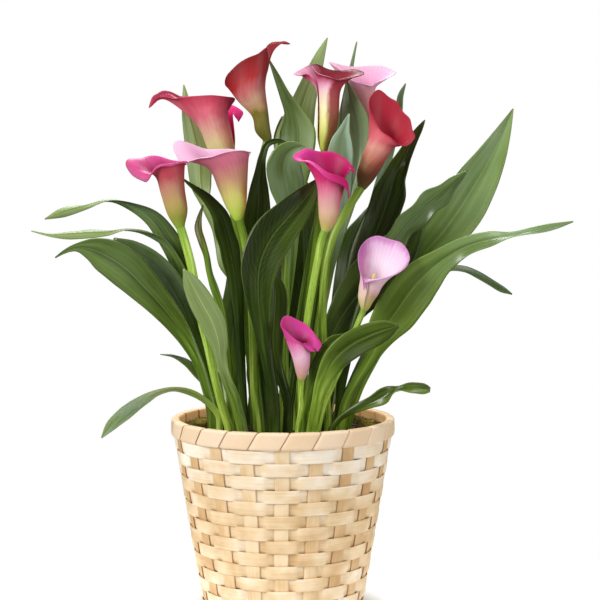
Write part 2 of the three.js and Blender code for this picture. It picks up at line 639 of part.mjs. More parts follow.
    course: [[42, 190, 5], [52, 240, 6], [64, 290, 8], [76, 335, 9], [87, 375, 8], [93, 402, 6],
      [94, 412, 5], [98, 422, 1.2]] },
  { name: 'leaf_back_left', colour: LEAF_BRIGHT, root: [-37, 7], depths: [52, 112], neck: 2,
    course: [[-36, 172, 11], [-36, 198, 14], [-35, 228, 18], [-33, 257, 22], [-33, 285, 23],
      [-34, 310, 17], [-36, 330, 8], [-37, 341, 1.2]] },
  { name: 'leaf_back_centre', colour: LEAF_DEEP, root: [-20, 19], depths: [66, 124], neck: 2,
    course: [[-19, 172, 9], [-17, 200, 12], [-14, 228, 17], [-10, 255, 22], [-6, 280, 24],
      [-1, 299, 15], [3, 313, 1.2]] },
  { name: 'leaf_back_upright', colour: LEAF_DEEP, root: [8, 23], depths: [58, 84], neck: 3,
    course: [[8, 172, 9], [8, 205, 11], [9, 250, 14], [10, 290, 18], [9, 325, 20], [6, 345, 18],
      [2, 362, 16], [-1, 378, 14], [-1, 387, 9], [-0.5, 396, 1.2]] },
  { name: 'leaf_back_right', colour: LEAF_DEEP, root: [27, 22], depths: [72, 130], neck: 2,
    course: [[33, 172, 9], [36, 205, 12], [42, 240, 16], [50, 270, 21], [57, 294, 24], [64, 312, 12],
      [69, 324, 1.2]] },
];

// Flowers. course is the stem as seen, rings shape the spathe's tube as [across, up, radius], and seam is the
// direction in which the rolled edges meet. slit is how far they stand apart at the throat, and spiral how
// far the seam turns from foot to throat, in degrees. A rim point may carry its own lift as a fifth number.
const FLOWERS = [
  { name: 'a', colour: '#c9407f', root: [-42, -33], depths: [-41, -42], stem: 3.4, neck: 2.9, seam: 85,
    arch: 3, stalk: STEM_LIME,
    course: [[-49, 162], [-55, 186], [-60, 210], [-65, 230], [-69, 250], [-74, 278], [-79, 297]],
    rings: [[-83, 310, 4.1], [-85, 320, 7.4], [-88.5, 336, 8.8], [-91, 350, 10.8]],
    rim: [[91, -77, 359, 2], [130, -84, 360, 8], [160, -91, 362.5, 12], [190, -102, 365.5, 14],
      [220, -114, 364, 12], [245, -123.5, 363.5, 7], [262, -126, 358, 2], [275, -121, 350, -3],
      [290, -113, 346, -8], [302, -109, 346, -9], [320, -104, 353, -12], [345, -98, 356.5, -14],
      [375, -90, 357.8, -12], [410, -82, 359, -8], [439, -76, 360.5, -4]] },
  { name: 'b', colour: '#be465a', root: [-11, -6], depths: [9, 17], stem: 3.2, neck: 2.9, seam: 73,
    slit: 36, stalk: STEM_OLIVE,
    course: [[-15, 180], [-20, 220], [-26, 255], [-33, 290], [-40, 320]],
    rings: [[-46, 346, 4.1], [-46.5, 358, 8.8], [-49, 374, 12], [-54, 394, 16]],
    rim: [[79, -34, 395, 4], [92, -32.5, 400, 3], [105, -35, 403, 6], [120, -40, 405.5, 10],
      [150, -50, 409, 16], [180, -63, 412, 17], [210, -77, 413, 13, 3], [232, -88, 414, 6, 7],
      [248, -97, 415, 2, 10], [260, -104, 412.5, 0.8, 12], [270, -107.3, 403.5, 0, 12],
      [280, -104.3, 409.5, -0.8, 11], [292, -97, 412.8, -2.4, 9], [310, -86, 411.8, -8, 4],
      [340, -70, 413, -14], [370, -57, 414.5, -17], [400, -46, 412.5, -15], [418, -38.5, 411, -11],
      [427, -42.5, 405, -9]] },
  { name: 'c', colour: '#d98cab', root: [-19, -32], depths: [-22, -24], stem: 3.2, neck: 2.9, seam: 70,
    arch: 2, stalk: STEM_OLIVE,
    course: [[-23, 172], [-24, 205], [-25, 240], [-27, 268], [-31, 298]],
    rings: [[-36, 316, 4.1], [-37.8, 325, 7.4], [-40.5, 340, 10.8], [-43.5, 356, 14.8]],
    rim: [[76, -26, 366, -2], [100, -25, 369, 5], [130, -36, 370.5, 11], [165, -50, 371, 15],
      [200, -64, 372, 15], [230, -76, 373.5, 11], [250, -84, 375.5, 6], [262, -87, 371, 1],
      [272, -85, 364, -3], [282, -81, 360, -6], [296, -75, 361, -9], [315, -67, 364, -13],
      [340, -57, 365.5, -16], [370, -46, 368, -17], [400, -36, 370, -12], [424, -27, 371, -6]] },
  { name: 'd', colour: '#9c2636', root: [-21, -9], depths: [-2, -2], stem: 3, neck: 2.7, seam: 80,
    stalk: STEM_OLIVE,
    course: [[-25, 180], [-28, 220], [-29, 255], [-28.5, 290], [-25, 325], [-18.5, 355]],
    rings: [[-12.6, 378, 3.5], [-16.3, 386, 5], [-21.2, 399, 8.8], [-27, 414, 12.8]],
    rim: [[86, -12, 441, -1], [98, -10.5, 445, 1], [110, -8, 449, 3], [124, -4, 453, 5, 8],
      [133, 0, 455.6, 6, 12], [139, 5.3, 454.8, 6.5, 14], [145, 0.5, 457, 7.5, 13],
      [154, -6, 455.6, 9, 9], [165, -12, 452.5, 11, 4], [190, -20, 445, 14], [215, -29, 434, 15],
      [240, -38, 424, 11], [256, -44, 418, 5], [268, -46, 421, -1], [284, -43.5, 427, -6],
      [308, -36.5, 434.5, -10], [333, -28, 441, -12], [360, -20.5, 447.3, -11], [392, -14, 451, -8],
      [412, -12.8, 448, -5], [434, -12, 441.5, -2]] },
  { name: 'e', colour: '#b4385a', root: [9, -6], depths: [0, -2], stem: 2.8, neck: 2.6, seam: 268,
    arch: 2, stalk: STEM_OLIVE,
    course: [[13, 172], [17, 210], [21, 250], [26, 290], [30, 330], [32, 354]],
    rings: [[33.5, 371, 3.8], [35, 380, 6.6], [36.5, 398, 7.9], [37, 417, 9]],
    rim: [[274, 23.5, 436.5, -5], [293, 26.5, 433, -9], [318, 32, 429.5, -12], [343, 39, 427.5, -13],
      [378, 47.5, 426, -12], [413, 58, 428, -7], [433, 65, 431.5, 0], [458, 60, 434, 6],
      [493, 48, 433.5, 11], [523, 36, 435, 13], [548, 27, 438, 11], [568, 20, 437.5, 8],
      [586, 13.5, 434.5, 4], [601, 9, 431, 1], [613, 13.5, 429.3, -2], [622, 18.5, 430.5, -3]] },
  { name: 'f', colour: '#d22c84', root: [11, -18], depths: [-34, -44], stem: 2.8, neck: 2.6, seam: 75,
    arch: 5, stalk: STEM_LIME,
    course: [[13, 172], [16, 203], [19, 228], [24, 260], [28, 282], [31, 298]],
    rings: [[34.5, 307, 3.8], [36, 316, 6.6], [37, 329, 8.1], [38, 343, 10.8]],
    rim: [[81, 58.5, 351, 0], [105, 55, 358, 6], [130, 49, 365, 10], [160, 40, 368.5, 13],
      [190, 30, 369.5, 13], [220, 21, 371.5, 10], [245, 14, 369.5, 5], [262, 8.5, 366, 1],
      [276, 11, 362.5, -4], [292, 19, 361, -10], [312, 26, 356, -15], [335, 33, 350, -18],
      [360, 41, 345, -18], [385, 48, 341.5, -14], [408, 53, 336, -8], [429, 52.5, 331.5, -3]] },
  { name: 'g', colour: '#e19bc3', root: [15, 7], depths: [17, 30], stem: 2.6, neck: 2.4, seam: 40,
    stalk: STEM_OLIVE,
    course: [[17, 180], [20, 220], [26, 260], [36, 300], [50, 340], [61, 370]],
    rings: [[69.5, 388, 3.6], [69, 397, 6.4], [67, 407, 7.8], [65, 416, 9.8]],
    rim: [[46, 74, 423, -8], [70, 82, 426.5, -4], [90, 90, 432, 2], [115, 84, 435.5, 8],
      [145, 76, 437, 12], [175, 67, 437.5, 13], [205, 57, 436, 11], [230, 49, 437.5, 7],
      [250, 42, 439.5, 3], [262, 36.5, 440, 0], [275, 42, 436.5, -3], [292, 48, 432.5, -6],
      [315, 54, 427, -9], [345, 61, 423, -11], [375, 68, 421.5, -12], [394, 72, 422, -11]] },
  { name: 'h', colour: '#a82a42', root: [36, -22], depths: [-26, -19], stem: 3.2, neck: 2.8, seam: 40,
    spiral: 75, stalk: STEM_OLIVE,
    course: [[35, 172], [33, 205], [32, 236], [33, 262], [36, 284], [42, 304], [52, 322]],
    rings: [[64, 341, 4], [67, 349, 7.2], [72.5, 361, 8.8], [78, 373, 10.2]],
    rim: [[46, 94, 374, -8], [65, 100.5, 373.5, -5], [85, 106.5, 380.5, 0], [98, 104.5, 387, 4],
      [112, 102.5, 395, 8], [124, 97.5, 399.5, 10], [136, 94, 404, 12], [150, 92, 408.5, 13],
      [165, 86, 412.5, 14], [185, 79, 417.8, 13], [210, 73.5, 416.5, 10], [235, 69.8, 410.5, 6],
      [258, 70.5, 402, 1], [283, 74, 393, -5], [308, 78.5, 387, -9], [333, 83.5, 382.5, -12],
      [360, 89, 378, -13], [380, 93, 375.5, -12], [394, 94.8, 374.3, -10]] },
  { name: 'i', colour: '#ecc8e6', root: [28, -34], depths: [-40, -48], stem: 2.3, neck: 2.1, seam: 330,
    stalk: STEM_LIME,
    course: [[33, 162], [40, 180], [49, 200], [58, 224], [63, 236]],
    rings: [[66, 243, 3.3], [67, 249, 5.6], [69.5, 256.5, 7.6], [72, 264, 9]],
    rim: [[336, 66, 263, -10], [360, 74, 266, -13], [385, 84, 268.5, -12], [410, 93, 271.5, -8],
      [435, 100, 278, -2], [455, 102.5, 286, 3], [480, 97, 294.5, 8], [510, 88, 299, 12],
      [540, 79, 301.5, 13], [570, 70, 300, 11], [595, 64.5, 295.5, 7], [618, 61, 287, 2],
      [640, 61.5, 277, -4], [660, 64.5, 268, -8], [684, 65.5, 258, -10]] },
  { name: 'j', colour: '#d746af', root: [12, -41], depths: [-48, -52], stem: 2.1, neck: 1.9, seam: 58,
    stalk: STEM_LIME,
    course: [[14.5, 162], [14.3, 176]],
    rings: [[15, 187, 3.1], [15, 194, 4.8], [14.5, 203, 6.2], [12.5, 213, 7.6]],
    rim: [[64, 27, 204, -3], [85, 31, 212, 1], [110, 27.5, 220, 5], [140, 21, 228, 8],
      [170, 13.5, 233.5, 9], [200, 6, 237, 8], [230, 0.5, 236.5, 5], [255, -2, 232.5, 1],
      [278, -1, 227.5, -3], [305, 4, 223.5, -6], [330, 9.5, 219, -8], [355, 15, 214.5, -9],
      [380, 20, 210, -8], [400, 23.5, 206, -7], [412, 25, 203, -6]] },
];

// The plant
const cutters = [];
LEAVES.forEach((leaf) => {
  const { front, back } = leafGrids(leaf, 0);
  place(plant, leaf.name, sheet(front, back), finish(leaf.colour, 0.45));
  cutters.push(holeCutter(leafGrids({ ...leaf, fine: false }, 2 * CLEARANCE)));
});
FLOWERS.forEach((flower) => {
  const { places, radii } = stemPlaces(flower);
  place(plant, `stem_${flower.name}`, rod(places, radii), finish(flower.stalk, 0.4));
  place(plant, `spathe_${flower.name}`, spathe(flower), finish(flower.colour, 0.5));
  const hole = [ROOT_DEPTH - CLEARANCE, SOIL_CLEAR].map((z) => places[0].clone().setZ(z));
  cutters.push(rod(hole, hole.map(() => flower.stem + 1.2 * CLEARANCE)));
});

// The pot, its filling and the basket
place(potAndBasket, 'basket_wall', basketWall(), finish(BAMBOO, 0.6));
place(potAndBasket, 'basket_base', basketBase(), finish(BAMBOO_BASE, 0.65));
place(potAndBasket, 'rim_hoop', rimHoop(), finish(BAMBOO_RIM, 0.6));
place(potAndBasket, 'rim_binding', rimBinding(), finish(BAMBOO_RIM, 0.55));
place(potAndBasket, 'nursery_pot', nurseryPot(), finish(POT_GREEN, 0.5));
place(potAndBasket, 'soil', soil(cutters), finish(SOIL_BROWN, 0.95));
place(potAndBasket, 'moss', moss(), finish(MOSS_GREEN, 0.95));

const pottedCallaLily = new THREE.Group();
pottedCallaLily.add(potAndBasket, plant);

export default pottedCallaLily;
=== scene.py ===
# %% [markdown]
# # A potted calla lily in a woven basket
#
# This file dresses a plain model of a flowering calla lily. The plain model, called the frame, fixes
# where every leaf, stem, flower and hoop of the basket is. Here each of them gets the form and finish that
# the eye expects: waxy rolled spathes, folded glossy leaves, split bamboo, moss.
#
# Nearly all of it starts as the same thing, a flat grid. A leaf, a spathe or a bamboo strip is flat stuff
# that grew or was bent into shape, so a grid that is laid into place point by point describes it well, and
# the grid's own flat layout stays with it as the map that veins and fibres follow.
#
# Lengths are in millimetres where nothing else is said, and MM turns them into Blender's metres.

import math
import random
from types import SimpleNamespace

import bpy
import numpy as np
from mathutils import Matrix, Vector, noise


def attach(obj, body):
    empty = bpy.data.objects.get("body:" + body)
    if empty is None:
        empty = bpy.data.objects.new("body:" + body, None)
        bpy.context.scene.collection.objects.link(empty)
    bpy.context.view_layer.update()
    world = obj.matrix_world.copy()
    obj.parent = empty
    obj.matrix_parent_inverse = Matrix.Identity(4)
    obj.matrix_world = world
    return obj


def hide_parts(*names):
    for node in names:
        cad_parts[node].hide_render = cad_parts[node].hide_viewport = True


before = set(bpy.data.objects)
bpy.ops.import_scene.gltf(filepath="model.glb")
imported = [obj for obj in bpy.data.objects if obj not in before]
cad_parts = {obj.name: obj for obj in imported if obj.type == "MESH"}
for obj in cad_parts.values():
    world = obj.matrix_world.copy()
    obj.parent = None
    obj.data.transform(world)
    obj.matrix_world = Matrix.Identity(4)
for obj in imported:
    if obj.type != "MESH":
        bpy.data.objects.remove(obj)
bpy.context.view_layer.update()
MM = 0.001
print("frame holds", len(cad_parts), "pieces")

# %% [markdown]
# ## The camera
#
# The plant is looked at from the height of its flowers, about a metre away. The camera comes first
# because the plant is laid out as it is seen from there: a place on it is written as
# [across, up, depth], where across and up are read on an upright board through the pot's axis, and depth
# says how far behind that board it really lies. `seen` slides a point along the line of sight to its depth.
# The view's width follows from half the picture and the lens's focal length, both counted in pixels.

# %% The camera
EYE = np.array([13.75, -1070.0, 308.0])
LOOK_DOWN = math.radians(3.16)
HALF_PICTURE = 300
FOCAL_LENGTH = 1331
VIEW_ANGLE = 2 * math.atan(HALF_PICTURE / FOCAL_LENGTH)

camera = bpy.data.objects.new("camera", bpy.data.cameras.new("camera"))
bpy.context.scene.collection.objects.link(camera)
camera.location = Vector(EYE) * MM
camera.rotation_euler = (math.pi / 2 - LOOK_DOWN, 0, 0)
camera.data.sensor_fit = "HORIZONTAL"
camera.data.angle = VIEW_ANGLE
camera.data.clip_start = 0.01
bpy.context.scene.camera = camera


def seen(across, up, depth):
    """Real places of points that are given as they are seen."""
    across, up, depth = (np.asarray(x, float) for x in (across, up, depth))
    reach = 1 - depth / EYE[1]
    return np.stack([EYE[0] + (across - EYE[0]) * reach, depth, EYE[2] + (up - EYE[2]) * reach], axis=-1)


print("camera", round(math.degrees(VIEW_ANGLE), 1), "degrees wide")

# %% [markdown]
# ## Light
#
# The plant stands in a white studio. Soft light comes from all round. One large lamp on the upper left
# gives the spathes and the basket their round form, one above and behind puts the long pale shine on the
# leaves, a weak one on the right keeps the shaded side warm, and one overhead reaches into the basket. The
# even light from all round is left out of reflections, where it would lay a grey veil over the dark leaves.

# %% Surroundings and lamps
EVEN_LIGHT = 0.44

bpy.context.scene.view_settings.view_transform = "Standard"
world = bpy.data.worlds.new("studio")
bpy.context.scene.world = world
world.use_nodes = True
sky = world.node_tree.nodes["Background"]
sky.inputs["Color"].default_value = (1.0, 0.995, 0.985, 1)
sky.inputs["Strength"].default_value = EVEN_LIGHT
world.cycles_visibility.glossy = False


def soft_lamp(name, place, target, width, watts, colour):
    """A round lamp that faces its target. Its place, target and width are in metres."""
    data = bpy.data.lights.new(name, "AREA")
    data.shape = "DISK"
    data.size = width
    data.energy = watts
    data.color = colour
    lamp = bpy.data.objects.new(name, data)
    bpy.context.scene.collection.objects.link(lamp)
    lamp.location = place
    lamp.rotation_euler = (Vector(target) - lamp.location).to_track_quat("-Z", "Y").to_euler()


soft_lamp("main_lamp", (-1.25, -0.95, 0.95), (0, 0, 0.22), width=0.7, watts=21.5, colour=(1.0, 0.98, 0.955))
soft_lamp("side_lamp", (1.2, -0.9, 0.5), (0, 0, 0.2), width=0.8, watts=7, colour=(1.0, 0.975, 0.94))
soft_lamp("top_lamp", (0.25, -0.45, 1.45), (0, 0, 0.2), width=0.7, watts=6, colour=(1.0, 0.985, 0.96))
soft_lamp("shine_lamp", (-0.2, 0.75, 1.35), (0, 0, 0.3), width=0.8, watts=18, colour=(0.97, 0.985, 1.0))
print("lamps lit")

# %% [markdown]
# ## Tools for shaping
#
# `glide` reads a smooth curve through a few chosen values, so the course of a whole leaf needs only about a
# dozen. `ease` is a soft step, for everything that fades in or out. `unit` gives directions their length
# of one.

# %% Smooth curves through chosen values
def glide(knots, values, at, level=False):
    """A smooth curve through values at the knots, read at `at`. A level one never swings past them."""
    knots = np.asarray(knots, float)
    values = np.asarray(values, float)
    flat = values.ndim == 1
    if flat:
        values = values[:, None]
    at = np.clip(at, knots[0], knots[-1])
    gaps = np.diff(knots)[:, None]
    slopes = np.diff(values, axis=0) / gaps
    before, after = slopes[:-1], slopes[1:]
    if level:
        same_way = before * after > 0
        inner = np.where(same_way, 2 * before * after / np.where(same_way, before + after, 1), 0)
    else:
        inner = (before * gaps[1:] + after * gaps[:-1]) / (gaps[1:] + gaps[:-1])
    bends = np.concatenate([slopes[:1], inner, slopes[-1:]])
    spot = np.clip(np.searchsorted(knots, at, side="right") - 1, 0, len(knots) - 2)
    gap = gaps[spot]
    t = (at - knots[spot])[:, None] / gap
    read = (
        values[spot] * (1 + 2 * t) * (1 - t) ** 2
        + values[spot + 1] * t * t * (3 - 2 * t)
        + bends[spot] * gap * t * (1 - t) ** 2
        - bends[spot + 1] * gap * t * t * (1 - t)
    )
    return read[:, 0] if flat else read


def ease(x, low, high):
    """0 below low, 1 above high, and a soft step between them."""
    t = np.clip((np.asarray(x, float) - low) / (high - low), 0, 1)
    return t * t * (3 - 2 * t)


def unit(vectors):
    return vectors / np.maximum(np.linalg.norm(vectors, axis=-1, keepdims=True), 1e-9)


print("a curve through 0, 1, 0 reads", glide([0, 1, 2], [0, 1, 0], np.array([0.5])).round(3))

# %% [markdown]
# `lay_grid` adds a flat grid and moves each of its points to where a formula says. `close_skin` welds the
# grid's edges where they meet, closes its ends and turns its faces outwards, so a leaf can be one closed
# skin: a grid rolled into a tube that is round as a stalk and pressed flat as a blade. Two sheets with a
# gap would do as well from afar, but would show their open edge close up. `dress` hangs a finished piece on
# the frame.

# %% Grids laid into place
def take(piece):
    """Makes this the one selected and active object."""
    bpy.ops.object.select_all(action="DESELECT")
    piece.select_set(True)
    bpy.context.view_layer.objects.active = piece


def lay_grid(name, columns, rows, lay):
    """A flat grid whose points go where lay(u, v) says. lay also gives the values that its finish reads."""
    bpy.ops.object.select_all(action="DESELECT")
    bpy.ops.mesh.primitive_grid_add(x_subdivisions=columns, y_subdivisions=rows, size=1)
    piece = bpy.context.object
    piece.name = piece.data.name = name
    mesh = piece.data
    flat = np.empty(len(mesh.vertices) * 3)
    mesh.vertices.foreach_get("co", flat)
    places, values = lay(flat[0::3] + 0.5, flat[1::3] + 0.5)
    mesh.vertices.foreach_set("co", (places * MM).ravel())
    for key, amounts in values.items():
        amounts = np.broadcast_to(np.asarray(amounts, float), len(mesh.vertices))
        mesh.attributes.new(key, "FLOAT", "POINT").data.foreach_set("value", amounts.astype(np.float32))
    mesh.update()
    return piece


def close_skin(piece):
    """Welds edges that meet, closes open ends, and points all faces outwards."""
    take(piece)
    bpy.ops.object.mode_set(mode="EDIT")
    bpy.ops.mesh.select_all(action="SELECT")
    bpy.ops.mesh.remove_doubles(threshold=0.02 * MM)
    bpy.ops.mesh.fill_holes(sides=0)
    bpy.ops.mesh.normals_make_consistent(inside=False)
    bpy.ops.object.mode_set(mode="OBJECT")
    bpy.ops.object.shade_smooth()
    return piece


def dress(piece, finish, slot, node):
    """Gives a finished piece its finish and hangs it on the frame in place of the plain node."""
    piece.data.materials.clear()
    piece.data.materials.append(finish)
    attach(piece, "root")
    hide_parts(node)


print("shaping tools ready")

# %% [markdown]
# ## Tools for finishes
#
# A finish is a small sum: this green, a little lighter along the rib, a little darker in the veins.
# `Wire` lets Python write such sums directly. It wraps one output of a node, and adding or multiplying it
# adds the Math node that does so. Colours are written as they are seen on a screen, and `tint` turns them
# into amounts of light.

# %% Wires and tints
class Wire:
    """One output of a node, which Python can calculate with."""

    def __init__(self, finish, socket):
        self.finish = finish
        self.socket = socket

    def sum(self, operation, *others, clamp=False):
        return self.finish.node("ShaderNodeMath", {"operation": operation, "use_clamp": clamp}, *others)

    def __add__(self, other):
        return self.sum("ADD", self, other)

    def __sub__(self, other):
        return self.sum("SUBTRACT", self, other)

    def __rsub__(self, other):
        return self.sum("SUBTRACT", other, self)

    def __mul__(self, other):
        return self.sum("MULTIPLY", self, other)

    def __abs__(self):
        return self.sum("ABSOLUTE", self)

    def __gt__(self, other):
        return self.sum("GREATER_THAN", self, other)

    __radd__ = __add__
    __rmul__ = __mul__

    def wave(self):
        return self.sum("SINE", self)

    def held(self):
        """The same value, kept between 0 and 1."""
        return self.sum("ADD", self, 0, clamp=True)

    def step(self, low, high):
        """0 below low, 1 above high, softly between."""
        smooth = {"interpolation_type": "SMOOTHSTEP"}
        return self.finish.node("ShaderNodeMapRange", smooth, self, low, high, 0, 1)


def tint(red, green, blue):
    """A colour as seen on a screen, 0 to 255, as the light it stands for."""
    parts = [c / 255 for c in (red, green, blue)]
    return tuple(p / 12.92 if p <= 0.04045 else ((p + 0.055) / 1.055) ** 2.4 for p in parts) + (1.0,)


print("leaf green is", [round(c, 3) for c in tint(90, 128, 50)])

# %% [markdown]
# `Finish` is a material under construction. Its method `node` adds any node that isn't a sum, and the short
# methods below it add the few kinds that nearly every finish here uses: a cloudy noise (`speckle`), a row
# of colours (`ramp`), a mix (`blend`) and a relief (`bump`). `wear` feeds the shader at the end.

# %% Finishes
class Finish:
    def __init__(self, name):
        self.material = bpy.data.materials.new(name)
        self.material.use_nodes = True
        self.tree = self.material.node_tree
        self.shader = self.tree.nodes["Principled BSDF"]

    def node(self, kind, settings=None, *inputs, out=0, **named):
        made = self.tree.nodes.new(kind)
        for key, value in (settings or {}).items():
            if key == "stops":
                self.set_stops(made.color_ramp, value)
            else:
                setattr(made, key, value)
        usable = [s for s in made.inputs if s.enabled]
        for socket, value in list(zip(usable, inputs)) + [(made.inputs[k], v) for k, v in named.items()]:
            self.feed(socket, value)
        outputs = [s for s in made.outputs if s.enabled]
        return Wire(self, outputs[out])

    def feed(self, socket, value):
        if isinstance(value, Wire):
            self.tree.links.new(value.socket, socket)
        else:
            socket.default_value = value

    def set_stops(self, colours, stops):
        while len(colours.elements) < len(stops):
            colours.elements.new(0.5)
        for element, (position, colour) in zip(colours.elements, stops):
            element.position = position
            element.color = colour

    def place(self):
        """Object coordinates: the place on the piece, in metres."""
        return self.node("ShaderNodeTexCoord", out=3)

    def grid_map(self):
        """How far round or across its own grid a point lies, and how far along it, both from 0 to 1."""
        return self.parts(self.node("ShaderNodeUVMap", {"uv_map": "UVMap"}))[:2]

    def parts(self, vector):
        """The x, y and z of a vector."""
        split = self.node("ShaderNodeSeparateXYZ", None, vector)
        return [Wire(self, output) for output in split.socket.node.outputs]

    def value(self, name):
        """A value that the piece's points carry."""
        return self.node("ShaderNodeAttribute", {"attribute_name": name}, out=2)

    def vector(self, x, y, z):
        return self.node("ShaderNodeCombineXYZ", None, x, y, z)

    def speckle(self, place, scale, detail=3.0, roughness=0.55):
        return self.node("ShaderNodeTexNoise", None,
                         Vector=place, Scale=scale, Detail=detail, Roughness=roughness)

    def beads(self, place, scale):
        """How far the nearest of many scattered points is."""
        return self.node("ShaderNodeTexVoronoi", {"feature": "F1"}, Vector=place, Scale=scale)

    def ramp(self, amount, *stops):
        """Colours that follow an amount. A stop is its position, then red, green and blue."""
        stops = [(stop[0], tint(*stop[1:])) for stop in stops]
        return self.node("ShaderNodeValToRGB", {"stops": stops}, amount)

    def blend(self, amount, a, b, kind="MIX"):
        return self.node("ShaderNodeMix", {"data_type": "RGBA", "blend_type": kind}, amount, a, b)

    def bump(self, height, strength, distance):
        return self.node("ShaderNodeBump", None, Strength=strength, Distance=distance, Height=height)

    def wear(self, **sockets):
        """Feeds the shader. Words in a socket's name are joined by an underscore here."""
        for key, value in sockets.items():
            self.feed(self.shader.inputs[key.replace("_", " ")], value)
        return self.material


print("finish tools ready")

# %% [markdown]
# ## Leaf finish
#
# A calla leaf is glossy deep green above, with a paler midrib and fine side veins that leave it at a sharp
# angle and run on to the edge. Underneath it is matt, paler and bluish, and the midrib stands out. The grid
# that a leaf is made of goes once round it, so the map's first half is the upper side and its second half
# the underside, and across runs from -1 at one edge to 1 at the other. The veins are a sine of a slanted
# coordinate, which follows any bend of the leaf and needs no picture.
#
# Each leaf's points carry values of their own: tone, from dark to light green; bloom, how strong a
# painted bluish sheen, standing in for reflected light, lies on its outer half; blush, how red its edges
# are;
# strip, a number that makes its noise differ from the next leaf's; blade, 0 on the stalk and 1 on the blade;
# and wide, 1 where the blade is broad, which keeps the relief off its thin tip.

# %% What a leaf's surface shows
def leaf_marks(green):
    around, along = green.grid_map()
    across = 1 - abs(around - 0.5) * 4
    edge = abs(across)
    strip = green.value("strip")
    drift = green.speckle(green.vector(across * 1.4, along * 7, strip), 1.6, 2.0)
    slant = along * 34 - edge * 4.6 + drift * 1.6
    return SimpleNamespace(
        around=around, along=along, across=across, edge=edge, strip=strip,
        tone=green.value("tone"),
        under=around > 0.5,
        veins=(slant * math.tau).wave() * 0.5 + 0.5,
        bands=green.speckle(green.vector(across * 3.0, along * 2.6, strip), 1.0, 1.2),
        clouds=green.speckle(green.vector(across * 0.9, along * 4.5, strip + 5), 1.1, 2.0),
        folds=green.speckle(green.vector(across * 2.6, along * 0.9, strip + 9), 1.6, 1.0),
        mottle=green.speckle(green.place(), 45, 2.0),
    )


print("leaf marks ready")

# %% [markdown]
# The blade's two halves are folded and never catch the same light, so one is painted a lighter green as
# painted light and shade. Each side of the midrib is painted darker, as painted shade in the fold there.
# Over that come veins, a painted bluish sheen that stands in for reflected light, midrib and a thin pale
# margin. The stalk is lime green with long pale streaks, and some stalks are much darker than others.

# %% Leaf finish
def blade_colour(green, leaf):
    # One half of the blade is painted lighter and the other darker: painted light and shade.
    lean = (leaf.strip * 2.7).wave() * leaf.across * 0.16
    patches = ((leaf.bands - 0.5) * 0.4 + (leaf.clouds - 0.5) * 0.4 + (leaf.folds - 0.5) * 0.6
               + (leaf.mottle - 0.5) * 0.12)
    # Next to the midrib the green is painted darker on each side: painted shade in the fold.
    painted_groove_shade = leaf.edge.step(0.03, 0.3) - leaf.edge.step(0.0, 0.05)
    shade = (leaf.tone + lean + patches * 0.8 + painted_groove_shade * 0.12 - 0.02).held()
    rib = 1 - leaf.edge.step(0.012, 0.075)
    margin = leaf.edge.step(0.93, 1.0)

    upper = green.ramp(shade, (0.0, 30, 42, 6), (0.25, 54, 72, 14), (0.5, 86, 110, 32), (0.75, 116, 142, 58),
                       (1.0, 150, 172, 92))
    upper = green.blend(leaf.veins * 0.045, upper, tint(128, 158, 74))
    # The bluish tint blended in here is a painted sheen: painted reflected light on the blade's outer part.
    sheen_strength = green.value("bloom") * leaf.along.step(0.45, 0.8) * (leaf.clouds.step(0.34, 0.62) * 0.65 + 0.35)
    upper = green.blend(sheen_strength, upper, tint(146, 172, 150))
    rib_green = green.blend(leaf.tone, tint(92, 118, 38), tint(160, 184, 96))
    upper = green.blend(rib * 0.3, upper, rib_green)

    below = green.ramp(shade, (0.0, 84, 100, 46), (0.5, 126, 148, 84), (1.0, 176, 194, 134))
    below = green.blend(leaf.veins * 0.06, below, tint(96, 124, 70))
    below = green.blend(rib * 0.6, below, tint(176, 194, 120))

    face = green.blend(margin * 0.3, green.blend(leaf.under, upper, below), tint(168, 188, 106))
    return green.blend(green.value("blush") * leaf.edge.step(0.3, 0.75), face, tint(104, 36, 26))


def stalk_colour(green, leaf):
    streaks = green.speckle(green.vector(leaf.around * 6, leaf.along * 2.2, leaf.strip), 1.7, 3.0)
    own = (leaf.strip * 7.77).wave() * 0.2
    shade = (streaks + own + (leaf.tone - 0.4) * 0.4 - 0.04).held()
    return green.ramp(shade, (0.15, 36, 54, 10), (0.42, 72, 98, 24), (0.62, 116, 150, 42),
                      (0.85, 176, 204, 92))


def leaf_finish():
    green = Finish("leaf")
    leaf = leaf_marks(green)
    colour = green.blend(green.value("blade"), stalk_colour(green, leaf), blade_colour(green, leaf))
    height = (leaf.bands * 0.9 + leaf.folds * 0.8) * green.value("wide") + leaf.mottle * 0.1
    gloss = 0.31 + leaf.under * 0.18 + (leaf.mottle - 0.5) * 0.12 + (leaf.bands - 0.5) * 0.14
    return green.wear(
        Base_Color=colour, Roughness=gloss, Normal=green.bump(height, 0.22, 0.6 * MM),
        Specular_IOR_Level=0.5,
    )


LEAF_FINISH = leaf_finish()
print("leaf finish has", len(LEAF_FINISH.node_tree.nodes), "nodes")
